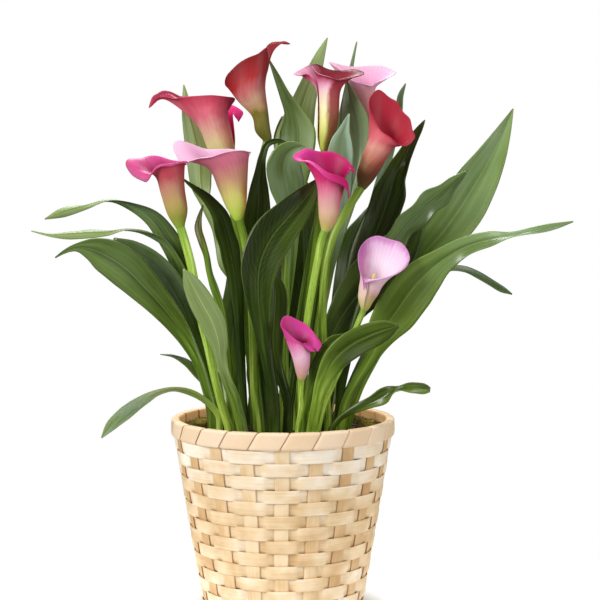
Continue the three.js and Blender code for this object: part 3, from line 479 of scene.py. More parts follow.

# %% [markdown]
# ## Leaves
#
# Each leaf is one piece: a round stalk that comes out of the soil, unrolls into a blade with a folded
# midrib, and ends in a drawn-out tip. Its row in the table says where it is rooted, at which two depths it
# passes its middle and its tip, and then its course from the soil to the tip as [across, up, width, roll].
# The roll turns the blade about its midrib, in degrees, which is what makes a leaf show its thin edge where
# it twists. Of the other words, neck says how many places from the root still belong to the stalk, face is
# -1 where the upper side looks away from the camera, cup is how far the edges rise, wave is how strongly
# they ripple, stalk is the stalk's width, green names the frame's leaf green that it stands in for, and
# tone, bloom and blush are for the finish; bloom sets a painted bluish sheen.

# %% The leaves' courses
LEAVES = [
    dict(name="leaf_left_long", root=(-56, -15), depths=(-18, -26), neck=4, cup=0.2, green="bright",
         tone=0.44, bloom=0.12,
         course=[(-57, 160, 8), (-61, 175, 8), (-68, 198, 9), (-76, 214, 12), (-87, 231, 17),
          (-100, 247, 22), (-113, 261, 27), (-126, 274, 31), (-141, 284, 28), (-155, 290, 17),
          (-167, 291, 6), (-176, 287.5, 3), (-183, 283, 1.2)]),
    dict(name="leaf_left_dark", root=(-48, -7), depths=(-3, 2), neck=4, green="deep", tone=0.22,
         bloom=0.22,
         course=[(-53, 162, 8), (-57, 178, 8), (-62, 196, 9), (-68, 212, 13), (-76, 232, 18),
          (-85, 250, 22), (-95, 266, 23), (-107, 279, 21), (-121, 289, 16), (-136, 298, 3)]),
    dict(name="leaf_left_upper", root=(-58, 7), depths=(16, 8), neck=4, green="sage", tone=0.42,
         bloom=0.3,
         course=[(-60, 168, 7), (-63, 195, 7), (-68, 228, 9), (-75, 262, 15), (-84, 284, 18),
          (-94, 302, 17, 10), (-105, 316, 15, 30), (-121, 325, 12, 52), (-139, 329, 12, 84),
          (-158, 324.5, 11, 112), (-175, 320.5, 10, 142), (-191, 314, 1.2, 150)]),
    dict(name="leaf_left_middle", root=(-48, 4), depths=(7, 2), neck=5, green="sage", tone=0.45,
         bloom=0.4,
         course=[(-51, 166, 7), (-57, 192, 7), (-63, 218, 7), (-70, 243, 9, 20), (-77, 264, 11, 45),
          (-86, 284, 10, 58), (-97, 297.5, 10, 60), (-110, 303.5, 9, 72), (-125, 305.5, 8, 82),
          (-140, 303.5, 10, 116), (-155, 303, 11, 132), (-170, 302, 10, 130), (-187, 301.5, 5, 120),
          (-202, 304.5, 1.2, 120)]),
    dict(name="leaf_left_low", root=(-50, -24), depths=(-36, -46), neck=2, stalk=3.6, green="deep",
         tone=0.85, bloom=0.75,
         course=[(-52, 154.5, 5), (-57, 162, 5), (-65, 169, 5), (-76, 175, 6, 30), (-88, 177.5, 8, 60),
          (-100, 175, 11, 64), (-113, 169, 13, 52), (-126, 160, 13, 34), (-138, 149, 10, 20),
          (-147, 137, 1.2, 10)]),
    dict(name="leaf_left_small", root=(-45, 17), depths=(24, 26), neck=2, stalk=3.4, green="deep",
         tone=0.35,
         course=[(-48, 158, 4.5), (-54, 169, 4.5), (-61, 180, 6), (-70, 191, 8, 20), (-78, 199, 8, 45),
          (-88, 204, 7, 72), (-99, 205, 1.2, 80)]),
    dict(name="leaf_left_front", root=(-31, -42), depths=(-52, -60), neck=3, face=-1, green="sage",
         tone=0.5, bloom=0.65,
         course=[(-36, 157, 9), (-40, 171, 9), (-46, 186, 8), (-50, 200, 9), (-52, 215, 15),
          (-57, 231, 20), (-65, 246, 19), (-73, 261, 14), (-80, 274, 1.2)]),
    dict(name="leaf_left_tall", root=(-24, 4), depths=(20, 38), neck=4, face=-1, green="sage",
         tone=0.62, bloom=0.6,
         course=[(-26, 190, 6), (-29, 230, 6), (-33, 247, 7), (-39, 264, 9, 30), (-44, 280, 17),
          (-48, 297, 16, 10), (-56, 311, 13, 45), (-62, 324, 12, 50), (-66, 342, 18, 15),
          (-67, 360, 20), (-71, 380, 17), (-76, 400, 10), (-79, 421, 1.2)]),
    dict(name="leaf_left_behind", root=(-31, -12), depths=(-8, -4), neck=3, wave=1, green="deep",
         tone=0.25,
         course=[(-33, 180, 7), (-35, 220, 8), (-37, 250, 11), (-40, 275, 15), (-45, 298, 17),
          (-51, 317, 14), (-60, 330, 9), (-70, 338, 5), (-81, 347, 1.2)]),
    dict(name="leaf_young_rolled", root=(-38, -6), depths=(-14, -16), neck=6, cup=0.6, stalk=3.6,
         green="bright", tone=0.6, blush=0.8,
         course=[(-42, 180, 5), (-45, 212, 5), (-50, 243, 6), (-55, 258, 6.5), (-59, 271, 5),
          (-61.5, 285, 5), (-65, 296, 6), (-68, 307, 6), (-67, 315, 4), (-64, 325, 1.2)]),
    dict(name="leaf_centre_tall", root=(-2, -6), depths=(4, 16), neck=3, cup=0.35, green="bright",
         tone=0.62, bloom=0.2,
         course=[(0, 170, 7), (1, 215, 7), (2, 255, 7), (3, 288, 9), (4, 315, 15), (6, 340, 25),
          (9, 362, 30), (12, 382, 29), (9, 398, 16), (2, 412, 9), (-5, 428, 5), (-11, 441, 1.2)]),
    dict(name="leaf_centre_broad", root=(0, -18), depths=(-14, -20), neck=4, cup=0.25, stalk=4,
         green="bright", tone=0.5, bloom=0.35,
         course=[(2, 168, 5), (2, 205, 5), (2, 238, 5), (3, 264, 5), (5, 291, 6), (6, 312, 10),
          (5, 328, 21), (3, 343, 28), (1, 355, 28), (3, 364, 23), (9, 370, 14), (17, 372, 1.2)]),
    dict(name="leaf_centre_back", root=(-11, 6), depths=(20, 34), neck=3, face=-1, green="sage",
         tone=0.64, bloom=0.9,
         course=[(-6, 190, 7), (2, 240, 7), (7, 290, 10), (8, 325, 16), (8, 350, 26), (9, 375, 32),
          (13, 394, 26), (18, 411, 19), (24, 428, 14), (30, 445, 8), (35.5, 458, 1.2)]),
    dict(name="leaf_centre_dark", root=(-6, -37), depths=(-41, -29), neck=3, green="deep", tone=0.14,
         course=[(-8, 172, 9), (-12, 198, 10), (-17, 228, 14), (-20, 254, 21), (-18, 279, 30),
          (-9, 299, 33), (6, 317, 27), (19, 332, 18), (28, 346, 2)]),
    dict(name="leaf_centre_round", root=(4, -29), depths=(-27, -23), neck=3, green="deep", tone=0.3,
         course=[(4, 165, 8), (0, 181, 8), (-6, 198, 11), (-8, 216, 16), (-7, 235, 20), (-6, 252, 19),
          (-7, 264, 12), (-8, 270, 3)]),
    dict(name="leaf_centre_narrow", root=(-13, -20), depths=(-12, -18), neck=3, green="deep", tone=0.15,
         course=[(-16, 180, 7), (-20, 220, 8), (-23, 250, 11), (-24, 276, 17), (-22, 300, 22),
          (-20, 320, 20), (-19, 338, 15), (-18, 352, 9), (-16, 365, 6), (-12, 374, 5), (-4, 376.5, 4),
          (5, 374, 1.2)]),
    dict(name="leaf_right_spear", root=(27, 6), depths=(8, 10), neck=4, cup=0.45, green="bright",
         tone=0.5, bloom=0.35,
         course=[(28, 180, 7), (30, 220, 7), (33, 250, 7), (38, 276, 8), (44, 300, 10), (50, 320, 12),
          (56, 342, 14), (60, 362, 17), (60, 376, 21), (58, 390, 23), (55, 402, 18), (53, 412, 11),
          (51, 424, 1.2)]),
    # Its tone is set low partly as painted shade, for its lower part deep in the plant.
    dict(name="leaf_right_blue", root=(20, -5), depths=(-8, -15), neck=4, green="sage", tone=0.48,
         bloom=1.0,
         course=[(22, 168, 6), (25, 198, 7), (29, 228, 7), (34, 257, 8), (39, 286, 10), (44, 312, 13),
          (46, 332, 17), (46, 350, 20), (46, 364, 21), (47, 376, 17), (49, 385, 9), (53, 398, 1.2)]),
    dict(name="leaf_right_dark", root=(33, -9), depths=(0, 6), neck=4, green="deep", tone=0.12,
         course=[(36, 168, 9), (40, 196, 10), (45, 221, 12), (52, 245, 15), (60, 268, 18),
          (69, 290, 22), (78, 312, 26), (85, 332, 27), (90, 349, 18), (98, 364, 14, 30),
          (106, 380, 9, 30), (113.5, 393, 1.2)]),
    dict(name="leaf_right_large", root=(41, 0), depths=(6, 14), neck=6, cup=0.25, green="bright",
         tone=0.64, bloom=0.25,
         course=[(50, 168, 7), (62, 195, 7), (76, 222, 7), (90, 248, 8), (103.5, 270, 14),
          (115, 288, 24), (129, 304, 36), (142, 322, 39), (155, 343, 34), (166, 362, 25),
          (176, 383, 13), (184, 402, 1.2)]),
    dict(name="leaf_right_wavy", root=(45, -13), depths=(-16, -16), neck=4, wave=2.2, green="sage",
         tone=0.36, bloom=0.15,
         course=[(46, 170, 7), (51, 200, 8), (58, 228, 8), (68, 255, 11), (79, 278, 16), (90, 297, 20),
          (100, 309, 20), (110, 319, 22), (121, 329, 21), (135, 341, 13), (148, 353, 1.2)]),
    dict(name="leaf_right_sweep", root=(46, -26), depths=(-36, -50), neck=3, green="bright", tone=0.6,
         bloom=0.3,
         course=[(51, 166, 8), (60, 184, 9), (72, 204, 12), (82, 226, 27), (92, 240, 34),
          (102.5, 255, 35), (114, 268, 30), (129, 281, 20), (146, 291, 16, 20), (165, 297, 15, 32),
          (187, 301.5, 8, 60), (210, 306, 7, 30), (233, 312, 1.2)]),
    dict(name="leaf_right_drooping", root=(53, -3), depths=(-14, -28), neck=3, stalk=3.8, green="deep",
         tone=0.25, bloom=0.2,
         course=[(60, 172, 6), (72, 200, 9), (84, 225, 14), (95, 244, 17), (107, 258, 14),
          (121, 268, 8, 40), (133, 273.5, 8, 55), (146, 273, 8, 50), (157, 268.5, 8, 40),
          (167, 263, 7, 35), (176, 257.5, 6, 30), (184.5, 253.5, 1.2, 30)]),
    dict(name="leaf_right_front", root=(23, -46), depths=(-54, -54), neck=2, cup=0.3, green="bright",
         tone=0.36,
         course=[(27, 162, 9), (33, 184, 13), (43, 202, 19), (56, 213, 21), (70, 220, 20),
          (83, 225, 15), (93, 228, 3)]),
    dict(name="leaf_right_upright", root=(18, -30), depths=(-41, -42), neck=2, green="bright", tone=0.4,
         course=[(20, 162, 8), (25, 181, 12), (32, 199, 15), (41, 213, 14), (50, 221, 3)]),
    dict(name="leaf_right_low", root=(38, -38), depths=(-52, -60), neck=2, stalk=3.8, green="deep",
         tone=0.42,
         course=[(47, 154, 5), (59, 161, 7), (71, 166, 9), (82, 171, 13, 15), (93, 176, 12, 72),
          (105, 177.5, 10, 30), (114, 176.8, 9, 20), (119, 176, 4, 20)]),
    # Its low tone, and its course widened behind flower i, are partly painted shade: dark green where the
    # plant lies in shadow.
    dict(name="leaf_right_shadow", root=(24, -17), depths=(-6, 6), neck=3, green="deep", tone=0.2,
         course=[(26, 168, 8), (30, 191, 10), (36, 212, 15), (45.5, 232, 23), (57.5, 249.5, 33),
          (71, 265, 40), (84, 280, 38), (96.5, 293.5, 28), (106, 306, 14), (113, 316, 1.2)]),
    dict(name="leaf_tip_top", root=(3, 9), depths=(36, 54), neck=3, stalk=3.6, green="sage", tone=0.55,
         bloom=0.5,
         course=[(8, 195, 5), (16, 250, 6), (26, 300, 8), (38, 350, 9), (47, 390, 8), (53, 425, 5),
          (55, 436, 3.4), (59, 455, 1.2)]),
    # Its tone is set low partly as painted shade, for its lower part deep in the plant.
    dict(name="leaf_tip_right", root=(38, 13), depths=(30, 36), neck=3, stalk=3.6, green="sage",
         tone=0.3, bloom=0.5,
         course=[(42, 190, 5), (52, 240, 6), (64, 290, 8), (76, 335, 9), (87, 375, 8), (93, 402, 6),
          (94, 412, 5), (98, 422, 1.2)]),
    dict(name="leaf_back_left", root=(-37, 7), depths=(52, 112), neck=2, green="bright", tone=0.3,
         course=[(-40, 172, 17), (-41.5, 190, 22), (-41, 215, 24), (-38, 240, 25), (-34.5, 262, 24),
          (-33, 285, 23), (-34, 310, 17), (-36, 330, 8), (-37, 341, 1.2)]),
    dict(name="leaf_back_centre", root=(-20, 19), depths=(66, 124), neck=2, green="deep", tone=0.15,
         course=[(-18, 172, 20), (-17, 190, 26), (-15.5, 215, 26), (-13, 240, 24), (-10, 258, 23),
          (-6, 280, 24), (-1, 299, 15), (3, 313, 1.2)]),
    dict(name="leaf_back_upright", root=(8, 23), depths=(58, 84), neck=3, green="deep", tone=0.15,
         course=[(8, 172, 15), (10, 192, 22), (13, 215, 26), (16, 250, 30), (17, 290, 32),
          (14, 325, 28), (8, 345, 21), (2, 362, 16), (-1, 378, 14), (-1, 387, 9), (-0.5, 396, 1.2)]),
    dict(name="leaf_back_right", root=(27, 22), depths=(72, 130), neck=2, green="deep", tone=0.15,
         course=[(37, 172, 16), (42, 188, 20), (45, 210, 21), (48, 240, 21), (52, 270, 22),
          (57, 294, 24), (64, 312, 12), (69, 324, 1.2)]),
]
print(len(LEAVES), "leaves")

# %% [markdown]
# A shoot, which is a leaf or a stem, starts straight down in its hole in the soil, at the two heights in
# SOIL_HOLE, and then follows its course. `spine_of` turns those places into a smooth line that can be read
# anywhere, and `directions_at` says which way is right and which way is towards the camera there, because
# the widths in the tables are widths as seen.

# %% Places along a shoot
SOIL_HOLE = (130, 149)
SPINE_STEP = 0.008


def shoot_places(root, depths, course):
    """Knots of a shoot: two straight down in its hole in the soil, then its course as seen."""
    steps = np.array([point[:2] for point in course], float)
    run = np.concatenate([[0], np.cumsum(np.hypot(*np.diff(steps, axis=0).T))])
    rise = steps[0, 1] - SOIL_HOLE[1]
    share = (run + rise) / (run[-1] + rise)
    depth = (root[1] * (1 - share) * (1 - 2 * share) + 4 * depths[0] * share * (1 - share)
             + depths[1] * share * (2 * share - 1))
    rooted = np.array([[root[0], root[1], z] for z in SOIL_HOLE], float)
    return np.concatenate([rooted, seen(steps[:, 0], steps[:, 1], depth)])


def spine_of(places):
    """A smooth spine: at(v) gives the place, the direction, and how many knots have been passed."""
    lengths = np.concatenate([[0], np.cumsum(np.linalg.norm(np.diff(places, axis=0), axis=1))])
    whole = lengths[-1]

    def at(v):
        here = glide(lengths, places, v * whole)
        ahead = glide(lengths, places, np.clip(v + SPINE_STEP, 0, 1) * whole)
        behind = glide(lengths, places, np.clip(v - SPINE_STEP, 0, 1) * whole)
        return here, unit(ahead - behind), np.interp(v * whole, lengths, np.arange(len(lengths)))

    return at, lengths, whole


def directions_at(here, along, roll):
    """Right as seen, and towards the camera, at places on a spine."""
    view = unit(here - EYE)
    side = unit(np.cross(view, along))
    facing = unit(np.cross(side, along))
    turn = np.radians(roll)[:, None]
    return side * np.cos(turn) + facing * np.sin(turn), facing * np.cos(turn) - side * np.sin(turn)


print("a shoot has", len(shoot_places((0, 0), (0, 0), [(0, 160), (0, 200)])), "knots")

# %% [markdown]
# The section of a leaf goes from a circle to a thin lens. Along the upper side runs a shallow groove,
# along the underside the midrib, and the edges lift a little and ripple. The ripple is a slow sine with
# its own start for each leaf, stronger at the edges, so that no two leaves wave alike.

# %% Section and ripple of a leaf
STALK_WIDTH = 5
EDGE_THICKNESS = 0.55
EXTRA_IN_MIDDLE = 0.55
RIB_HALF_WIDTH = 0.09
GROOVE_DEPTH = 0.4
RIB_HEIGHT = 0.55
RIPPLE_HEIGHT = 0.55
RIPPLE_LENGTH = 9.5
SCALLOP_DEPTH = 0.11
SCALLOP_LENGTH = 4.2


def leaf_section(u, blade, width, stalk):
    """Where across the leaf each point lies, how near an edge, and its height over the skin's middle."""
    turn = math.tau * u
    flat = 1 - 4 * np.abs(u - 0.5)
    across = -np.cos(turn) * (1 - blade) + flat * blade
    bend = np.abs(across) ** 1.3
    thin = EDGE_THICKNESS + EXTRA_IN_MIDDLE * (1 - bend) * np.minimum(1, width / 10)
    side = np.where(u < 0.5, 1.0, -1.0)
    rib = np.exp(-(across / RIB_HALF_WIDTH) ** 2) * blade * np.minimum(1, width / 9)
    rim = np.sqrt(np.clip(1 - across**8, 0, 1))
    half = stalk / 2 * np.sin(turn) * (1 - blade) + side * thin / 2 * rim * blade
    return across, bend, half - rib * np.where(side > 0, GROOVE_DEPTH, RIB_HEIGHT)


def edge_waves(across, width, wave, start, v, run):
    """How high the edges ripple, and how deep they are scalloped."""
    swing = (RIPPLE_HEIGHT + 0.5 * wave) * np.sin(run / RIPPLE_LENGTH + start + across)
    swing = swing * (1 + 0.4 * np.sin(v * 23 + start))
    scallops = 0.5 + 0.5 * np.sin(run / SCALLOP_LENGTH + 2 * start + 2 * np.sign(across))
    return np.sign(across) * swing * np.minimum(1, width / 12), SCALLOP_DEPTH * wave * scallops


print("a leaf is", EDGE_THICKNESS, "to", EDGE_THICKNESS + EXTRA_IN_MIDDLE, "mm thick")

# %% [markdown]
# With the spine, the section and the ripple, one formula lays the whole leaf. Broad leaves get a finer grid
# than narrow ones.

# %% The leaves
UNROLLING = 2.5
FULL_RELIEF_WIDTH = 22
ROW_LENGTH = 3.2
BROAD = 16


def leaf_shape(leaf, number):
    course = leaf["course"]
    places = shoot_places(leaf["root"], leaf["depths"], course)
    at, lengths, whole = spine_of(places)
    stalk = leaf.get("stalk", STALK_WIDTH)
    widths = np.array([max(course[0][2], stalk)] * 2 + [point[2] for point in course], float)
    rolls = np.array([0, 0] + [point[3] if len(point) > 3 else 0 for point in course], float)
    start = number * 1.7

    def lay(u, v):
        here, along, knot = at(v)
        width = glide(lengths, widths, v * whole, level=True)
        roll = glide(lengths, rolls, v * whole, level=True)
        blade = ease(knot, leaf["neck"], leaf["neck"] + UNROLLING)
        right, normal = directions_at(here, along, roll)
        normal = normal * leaf.get("face", 1)
        across, bend, half = leaf_section(u, blade, width, stalk)
        ripple, scallop = edge_waves(across, width, leaf.get("wave", 0), start, v, v * whole)
        lift = blade * (leaf.get("cup", 0.22) * width * 0.5 * bend + ripple * bend)
        outwards = across * (1 - scallop * blade) * width / 2
        point = here + right * outwards[:, None] + normal * (lift + half)[:, None]
        return point, {"blade": blade, "tone": leaf["tone"], "strip": number * 3.1,
                       "bloom": leaf.get("bloom", 0), "blush": leaf.get("blush", 0),
                       "wide": np.clip(width / FULL_RELIEF_WIDTH, 0, 1) ** 2}

    return lay, whole


for number, leaf in enumerate(LEAVES):
    lay, whole = leaf_shape(leaf, number)
    columns = 32 if max(point[2] for point in leaf["course"]) > BROAD else 24
    piece = close_skin(lay_grid(leaf["name"] + "_skin", columns, int(whole / ROW_LENGTH) + 8, lay))
    dress(piece, LEAF_FINISH, "leaf_" + leaf["green"], leaf["name"])
print(len(LEAVES), "leaves laid, the last with", len(piece.data.polygons), "faces")

# %% [markdown]
# ## Flowers
#
# What looks like the flower's one petal is a spathe: a leaf rolled into a funnel round a finger-like
# spadix, which carries the true, tiny flowers. Its row in the table gives the stem's course as seen, then
# four rings [across, up, radius] that shape the tube from foot to throat, and the mouth's rim as a list of
# [angle, across, up, depth]. 0 degrees faces the camera and 90 is to the right. A fifth number lifts the
# spathe just inside that point of the rim, and arch lifts it all round, which is how a limb or a long tail
# comes to arch over.
#
# Of the other words, depths are as for a leaf, stem and neck are the radii of the stem and the spadix, seam
# is the angle at which the two rolled edges meet, slit is how many degrees they stand apart at the throat,
# spiral is how far the seam turns on its way up, reach makes the spadix longer, and green names the frame's
# stem green.

# %% The flowers' courses and rims
FLOWERS = [
    dict(name="a", root=(-42, -33), depths=(-41, -42), stem=3.4, neck=2.9, seam=85, arch=3, green="lime",
         course=[(-49, 162), (-55, 186), (-60, 210), (-65, 230), (-69, 250), (-74, 278), (-79, 297)],
         rings=[(-83, 310, 4.1), (-85, 320, 7.4), (-88.5, 336, 8.8), (-91, 350, 10.8)],
         rim=[(91, -77, 359, 2), (130, -84, 360, 8), (160, -91, 362.5, 12), (190, -102, 365.5, 14),
          (220, -114, 364, 12), (245, -123.5, 363.5, 7), (262, -126, 358, 2), (275, -121, 350, -3),
          (290, -113, 346, -8), (302, -109, 346, -9), (320, -104, 353, -12), (345, -98, 356.5, -14),
          (375, -90, 357.8, -12), (410, -82, 359, -8), (439, -76, 360.5, -4)]),
    dict(name="b", root=(-11, -6), depths=(9, 17), stem=3.2, neck=2.9, seam=73, slit=44, green="olive",
         course=[(-15, 180), (-20, 220), (-26, 255), (-33, 290), (-40, 320)],
         rings=[(-46, 346, 4.1), (-46.5, 358, 8.8), (-49, 374, 12), (-54, 394, 16)],
         rim=[(79, -35.8, 393, 3), (92, -32, 400, 3), (105, -35, 403, 6), (120, -40, 405.5, 10),
          (150, -50, 409, 16), (180, -63, 412, 17), (210, -77, 413, 13, 3), (232, -88, 414, 6, 7),
          (248, -97, 415, 2, 10), (260, -104, 412.5, 0.8, 12), (270, -107.3, 403.5, 0, 12),
          (280, -104.3, 409.5, -0.8, 11), (292, -97, 412.8, -2.4, 9), (310, -86, 411.8, -8, 4),
          (340, -70, 413, -14), (370, -57, 414.5, -17), (400, -46, 412.5, -15), (418, -38.5, 411, -11),
          (427, -42.5, 405, -9)]),
    dict(name="c", root=(-19, -32), depths=(-22, -24), stem=3.2, neck=2.9, seam=70, arch=2,
         green="olive",
         course=[(-23, 172), (-24, 205), (-25, 240), (-27, 268), (-31, 298)],
         rings=[(-36, 316, 4.1), (-37.8, 325, 7.4), (-40.5, 340, 10.8), (-43.5, 356, 14.8)],
         rim=[(76, -27, 365, -1), (100, -26.5, 368.5, 5), (130, -36, 370.5, 11), (165, -50, 371, 15),
          (200, -64, 372, 15), (230, -77, 376, 11), (250, -85, 378.5, 6), (262, -88, 375, 1),
          (272, -86, 367, -3), (282, -81, 360, -6), (296, -75, 361, -9), (315, -67, 364, -13),
          (340, -57, 365.5, -16), (370, -46, 368, -17), (400, -34, 370.5, -11), (424, -25.5, 368.5, -4)]),
    dict(name="d", root=(-21, -9), depths=(-2, -2), stem=3, neck=2.7, seam=80, green="olive",
         course=[(-25, 180), (-28, 220), (-29, 255), (-28.5, 290), (-25, 325), (-18.5, 355)],
         rings=[(-12.6, 378, 3.4), (-16.4, 385.5, 5.4), (-18.6, 398, 6.1), (-25.4, 413, 11.4)],
         rim=[(86, -12, 441, -1), (98, -10.5, 445, 1), (110, -8, 449, 3), (124, -4, 453, 5, 8),
          (133, 0, 455.6, 6, 12), (139, 5.3, 454.8, 6.5, 14), (145, 0.5, 457, 7.5, 13),
          (154, -6, 455.6, 9, 9), (165, -12, 452.5, 11, 4), (190, -20, 445, 14), (215, -29, 434, 15),
          (240, -40.5, 421, 11), (256, -45.3, 420.5, 5), (268, -46.6, 425, -1), (284, -44.6, 431, -6),
          (308, -37.6, 437.5, -10), (333, -28.6, 443, -12), (360, -20.5, 447.3, -11),
          (392, -14, 451, -8), (412, -12.8, 448, -5), (434, -12, 441.5, -2)]),
    dict(name="e", root=(9, -6), depths=(0, -2), stem=2.8, neck=2.6, seam=268, arch=2, green="olive",
         course=[(13, 172), (17, 210), (21, 250), (26, 290), (30, 330), (32, 354)],
         rings=[(33.5, 371, 3.8), (35, 380, 6.6), (36.5, 398, 7.9), (37, 417, 9)],
         rim=[(274, 23.5, 436.5, -5), (293, 26.5, 433, -9), (318, 32, 429.5, -12),
          (343, 39, 427.5, -13), (378, 47.5, 426, -12), (413, 58, 428, -7), (433, 65, 431.5, 0),
          (458, 60, 434, 6), (493, 48, 433.5, 11), (523, 36, 435, 13), (548, 27, 438, 11),
          (568, 20, 437.5, 8), (586, 13.5, 434.5, 4), (601, 9, 431, 1), (613, 13.5, 429.3, -2),
          (622, 18.5, 430.5, -3)]),
    dict(name="f", root=(11, -18), depths=(-34, -44), stem=2.8, neck=2.6, seam=75, arch=5, green="lime",
         course=[(13, 172), (16, 203), (19, 228), (24, 260), (28, 282), (31, 298)],
         rings=[(34.5, 307, 3.8), (36, 316, 6.6), (37, 329, 8.1), (38, 343, 10.8)],
         rim=[(81, 58.5, 351, 0), (105, 55, 358, 6), (130, 49, 365, 10), (160, 40, 368.5, 13),
          (190, 30, 369.5, 13), (220, 21, 371.5, 10), (245, 14, 369.5, 5), (262, 8.5, 366, 1),
          (276, 11, 362.5, -4), (292, 19, 361, -10), (312, 26, 356, -15), (335, 33, 350, -18),
          (360, 41, 345, -18), (385, 48, 341.5, -14), (408, 53, 336, -8), (429, 52.5, 331.5, -3)]),
    dict(name="g", root=(15, 7), depths=(17, 30), stem=2.6, neck=2.4, seam=40, green="olive",
         course=[(17, 180), (20, 220), (26, 260), (36, 300), (50, 340), (61, 370)],
         rings=[(69.5, 388, 3.6), (69, 397, 6.4), (67, 407, 7.8), (65, 416, 9.8)],
         rim=[(46, 74, 423, -8), (70, 82, 426.5, -4), (90, 90, 432, 2), (115, 84, 435.5, 8),
          (145, 76, 437, 12), (175, 67, 437.5, 13), (205, 57, 436, 11), (230, 49, 437.5, 7),
          (250, 42, 439.5, 3), (262, 36.5, 440, 0), (275, 42, 436.5, -3), (292, 48, 432.5, -6),
          (315, 54, 427, -9), (345, 61, 423, -11), (375, 68, 421.5, -12), (394, 72, 422, -11)]),
    dict(name="h", root=(36, -22), depths=(-26, -19), stem=3.2, neck=2.8, seam=40, spiral=75,
         green="olive",
         course=[(35, 172), (33, 205), (32, 236), (33, 262), (36, 284), (42, 304), (52, 322)],
         rings=[(64, 341, 4), (67, 349, 7.2), (72.5, 361, 8.8), (78, 373, 10.2)],
         rim=[(46, 94, 374, -8), (65, 100.5, 373.5, -5), (85, 106.5, 380.5, 0), (98, 104.5, 387, 4),
          (112, 102.5, 395, 8), (124, 97.5, 399.5, 10), (136, 94, 404, 12), (150, 92, 408.5, 13),
          (165, 86, 412.5, 14), (185, 79, 417.8, 13), (210, 73.5, 416.5, 10), (235, 69.8, 410.5, 6),
          (258, 70.5, 402, 1), (283, 74, 393, -5), (308, 78.5, 387, -9), (333, 83.5, 382.5, -12),
          (360, 89, 378, -13), (380, 93, 375.5, -12), (394, 94.8, 374.3, -10)]),
    dict(name="i", root=(28, -34), depths=(-40, -48), stem=2.3, neck=2.1, seam=330, green="lime",
         reach=1.35,
         course=[(33, 162), (40, 180), (49, 200), (58, 224), (63, 236)],
         rings=[(66, 243, 3.3), (67, 249, 5.6), (69.5, 256.5, 7.6), (72, 264, 9)],
         rim=[(336, 66, 263, -10), (360, 74, 266, -13), (385, 84, 268.5, -12), (410, 93, 271.5, -8),
          (435, 100, 278, -2), (455, 102.5, 286, 3), (480, 97, 294.5, 8), (510, 88, 299, 12),
          (540, 79, 301.5, 13), (570, 70, 300, 11), (595, 64.5, 295.5, 7), (618, 61, 287, 2),
          (640, 61.5, 277, -4), (660, 64.5, 268, -8), (684, 65.5, 258, -10)]),
    dict(name="j", root=(12, -41), depths=(-48, -52), stem=2.1, neck=1.9, seam=58, green="lime",
         course=[(14.5, 162), (14.3, 176)],
         rings=[(15, 187, 3.1), (15, 194, 4.8), (14.5, 203, 6.2), (12.5, 213, 7.6)],
         rim=[(64, 28, 208, -3), (85, 31, 213.5, 1), (110, 27.5, 220, 5), (140, 21, 228, 8),
          (170, 13.5, 233.5, 9), (200, 6, 237, 8), (230, 0.5, 236.5, 5), (255, -2, 232.5, 1),
          (278, -1, 227.5, -3), (305, 4, 223.5, -6), (330, 9.5, 219, -8), (355, 15, 214.5, -9),
          (380, 20, 210, -8), (400, 23, 209, -7), (412, 25.5, 208.5, -5)]),
]
print(len(FLOWERS), "flowers")
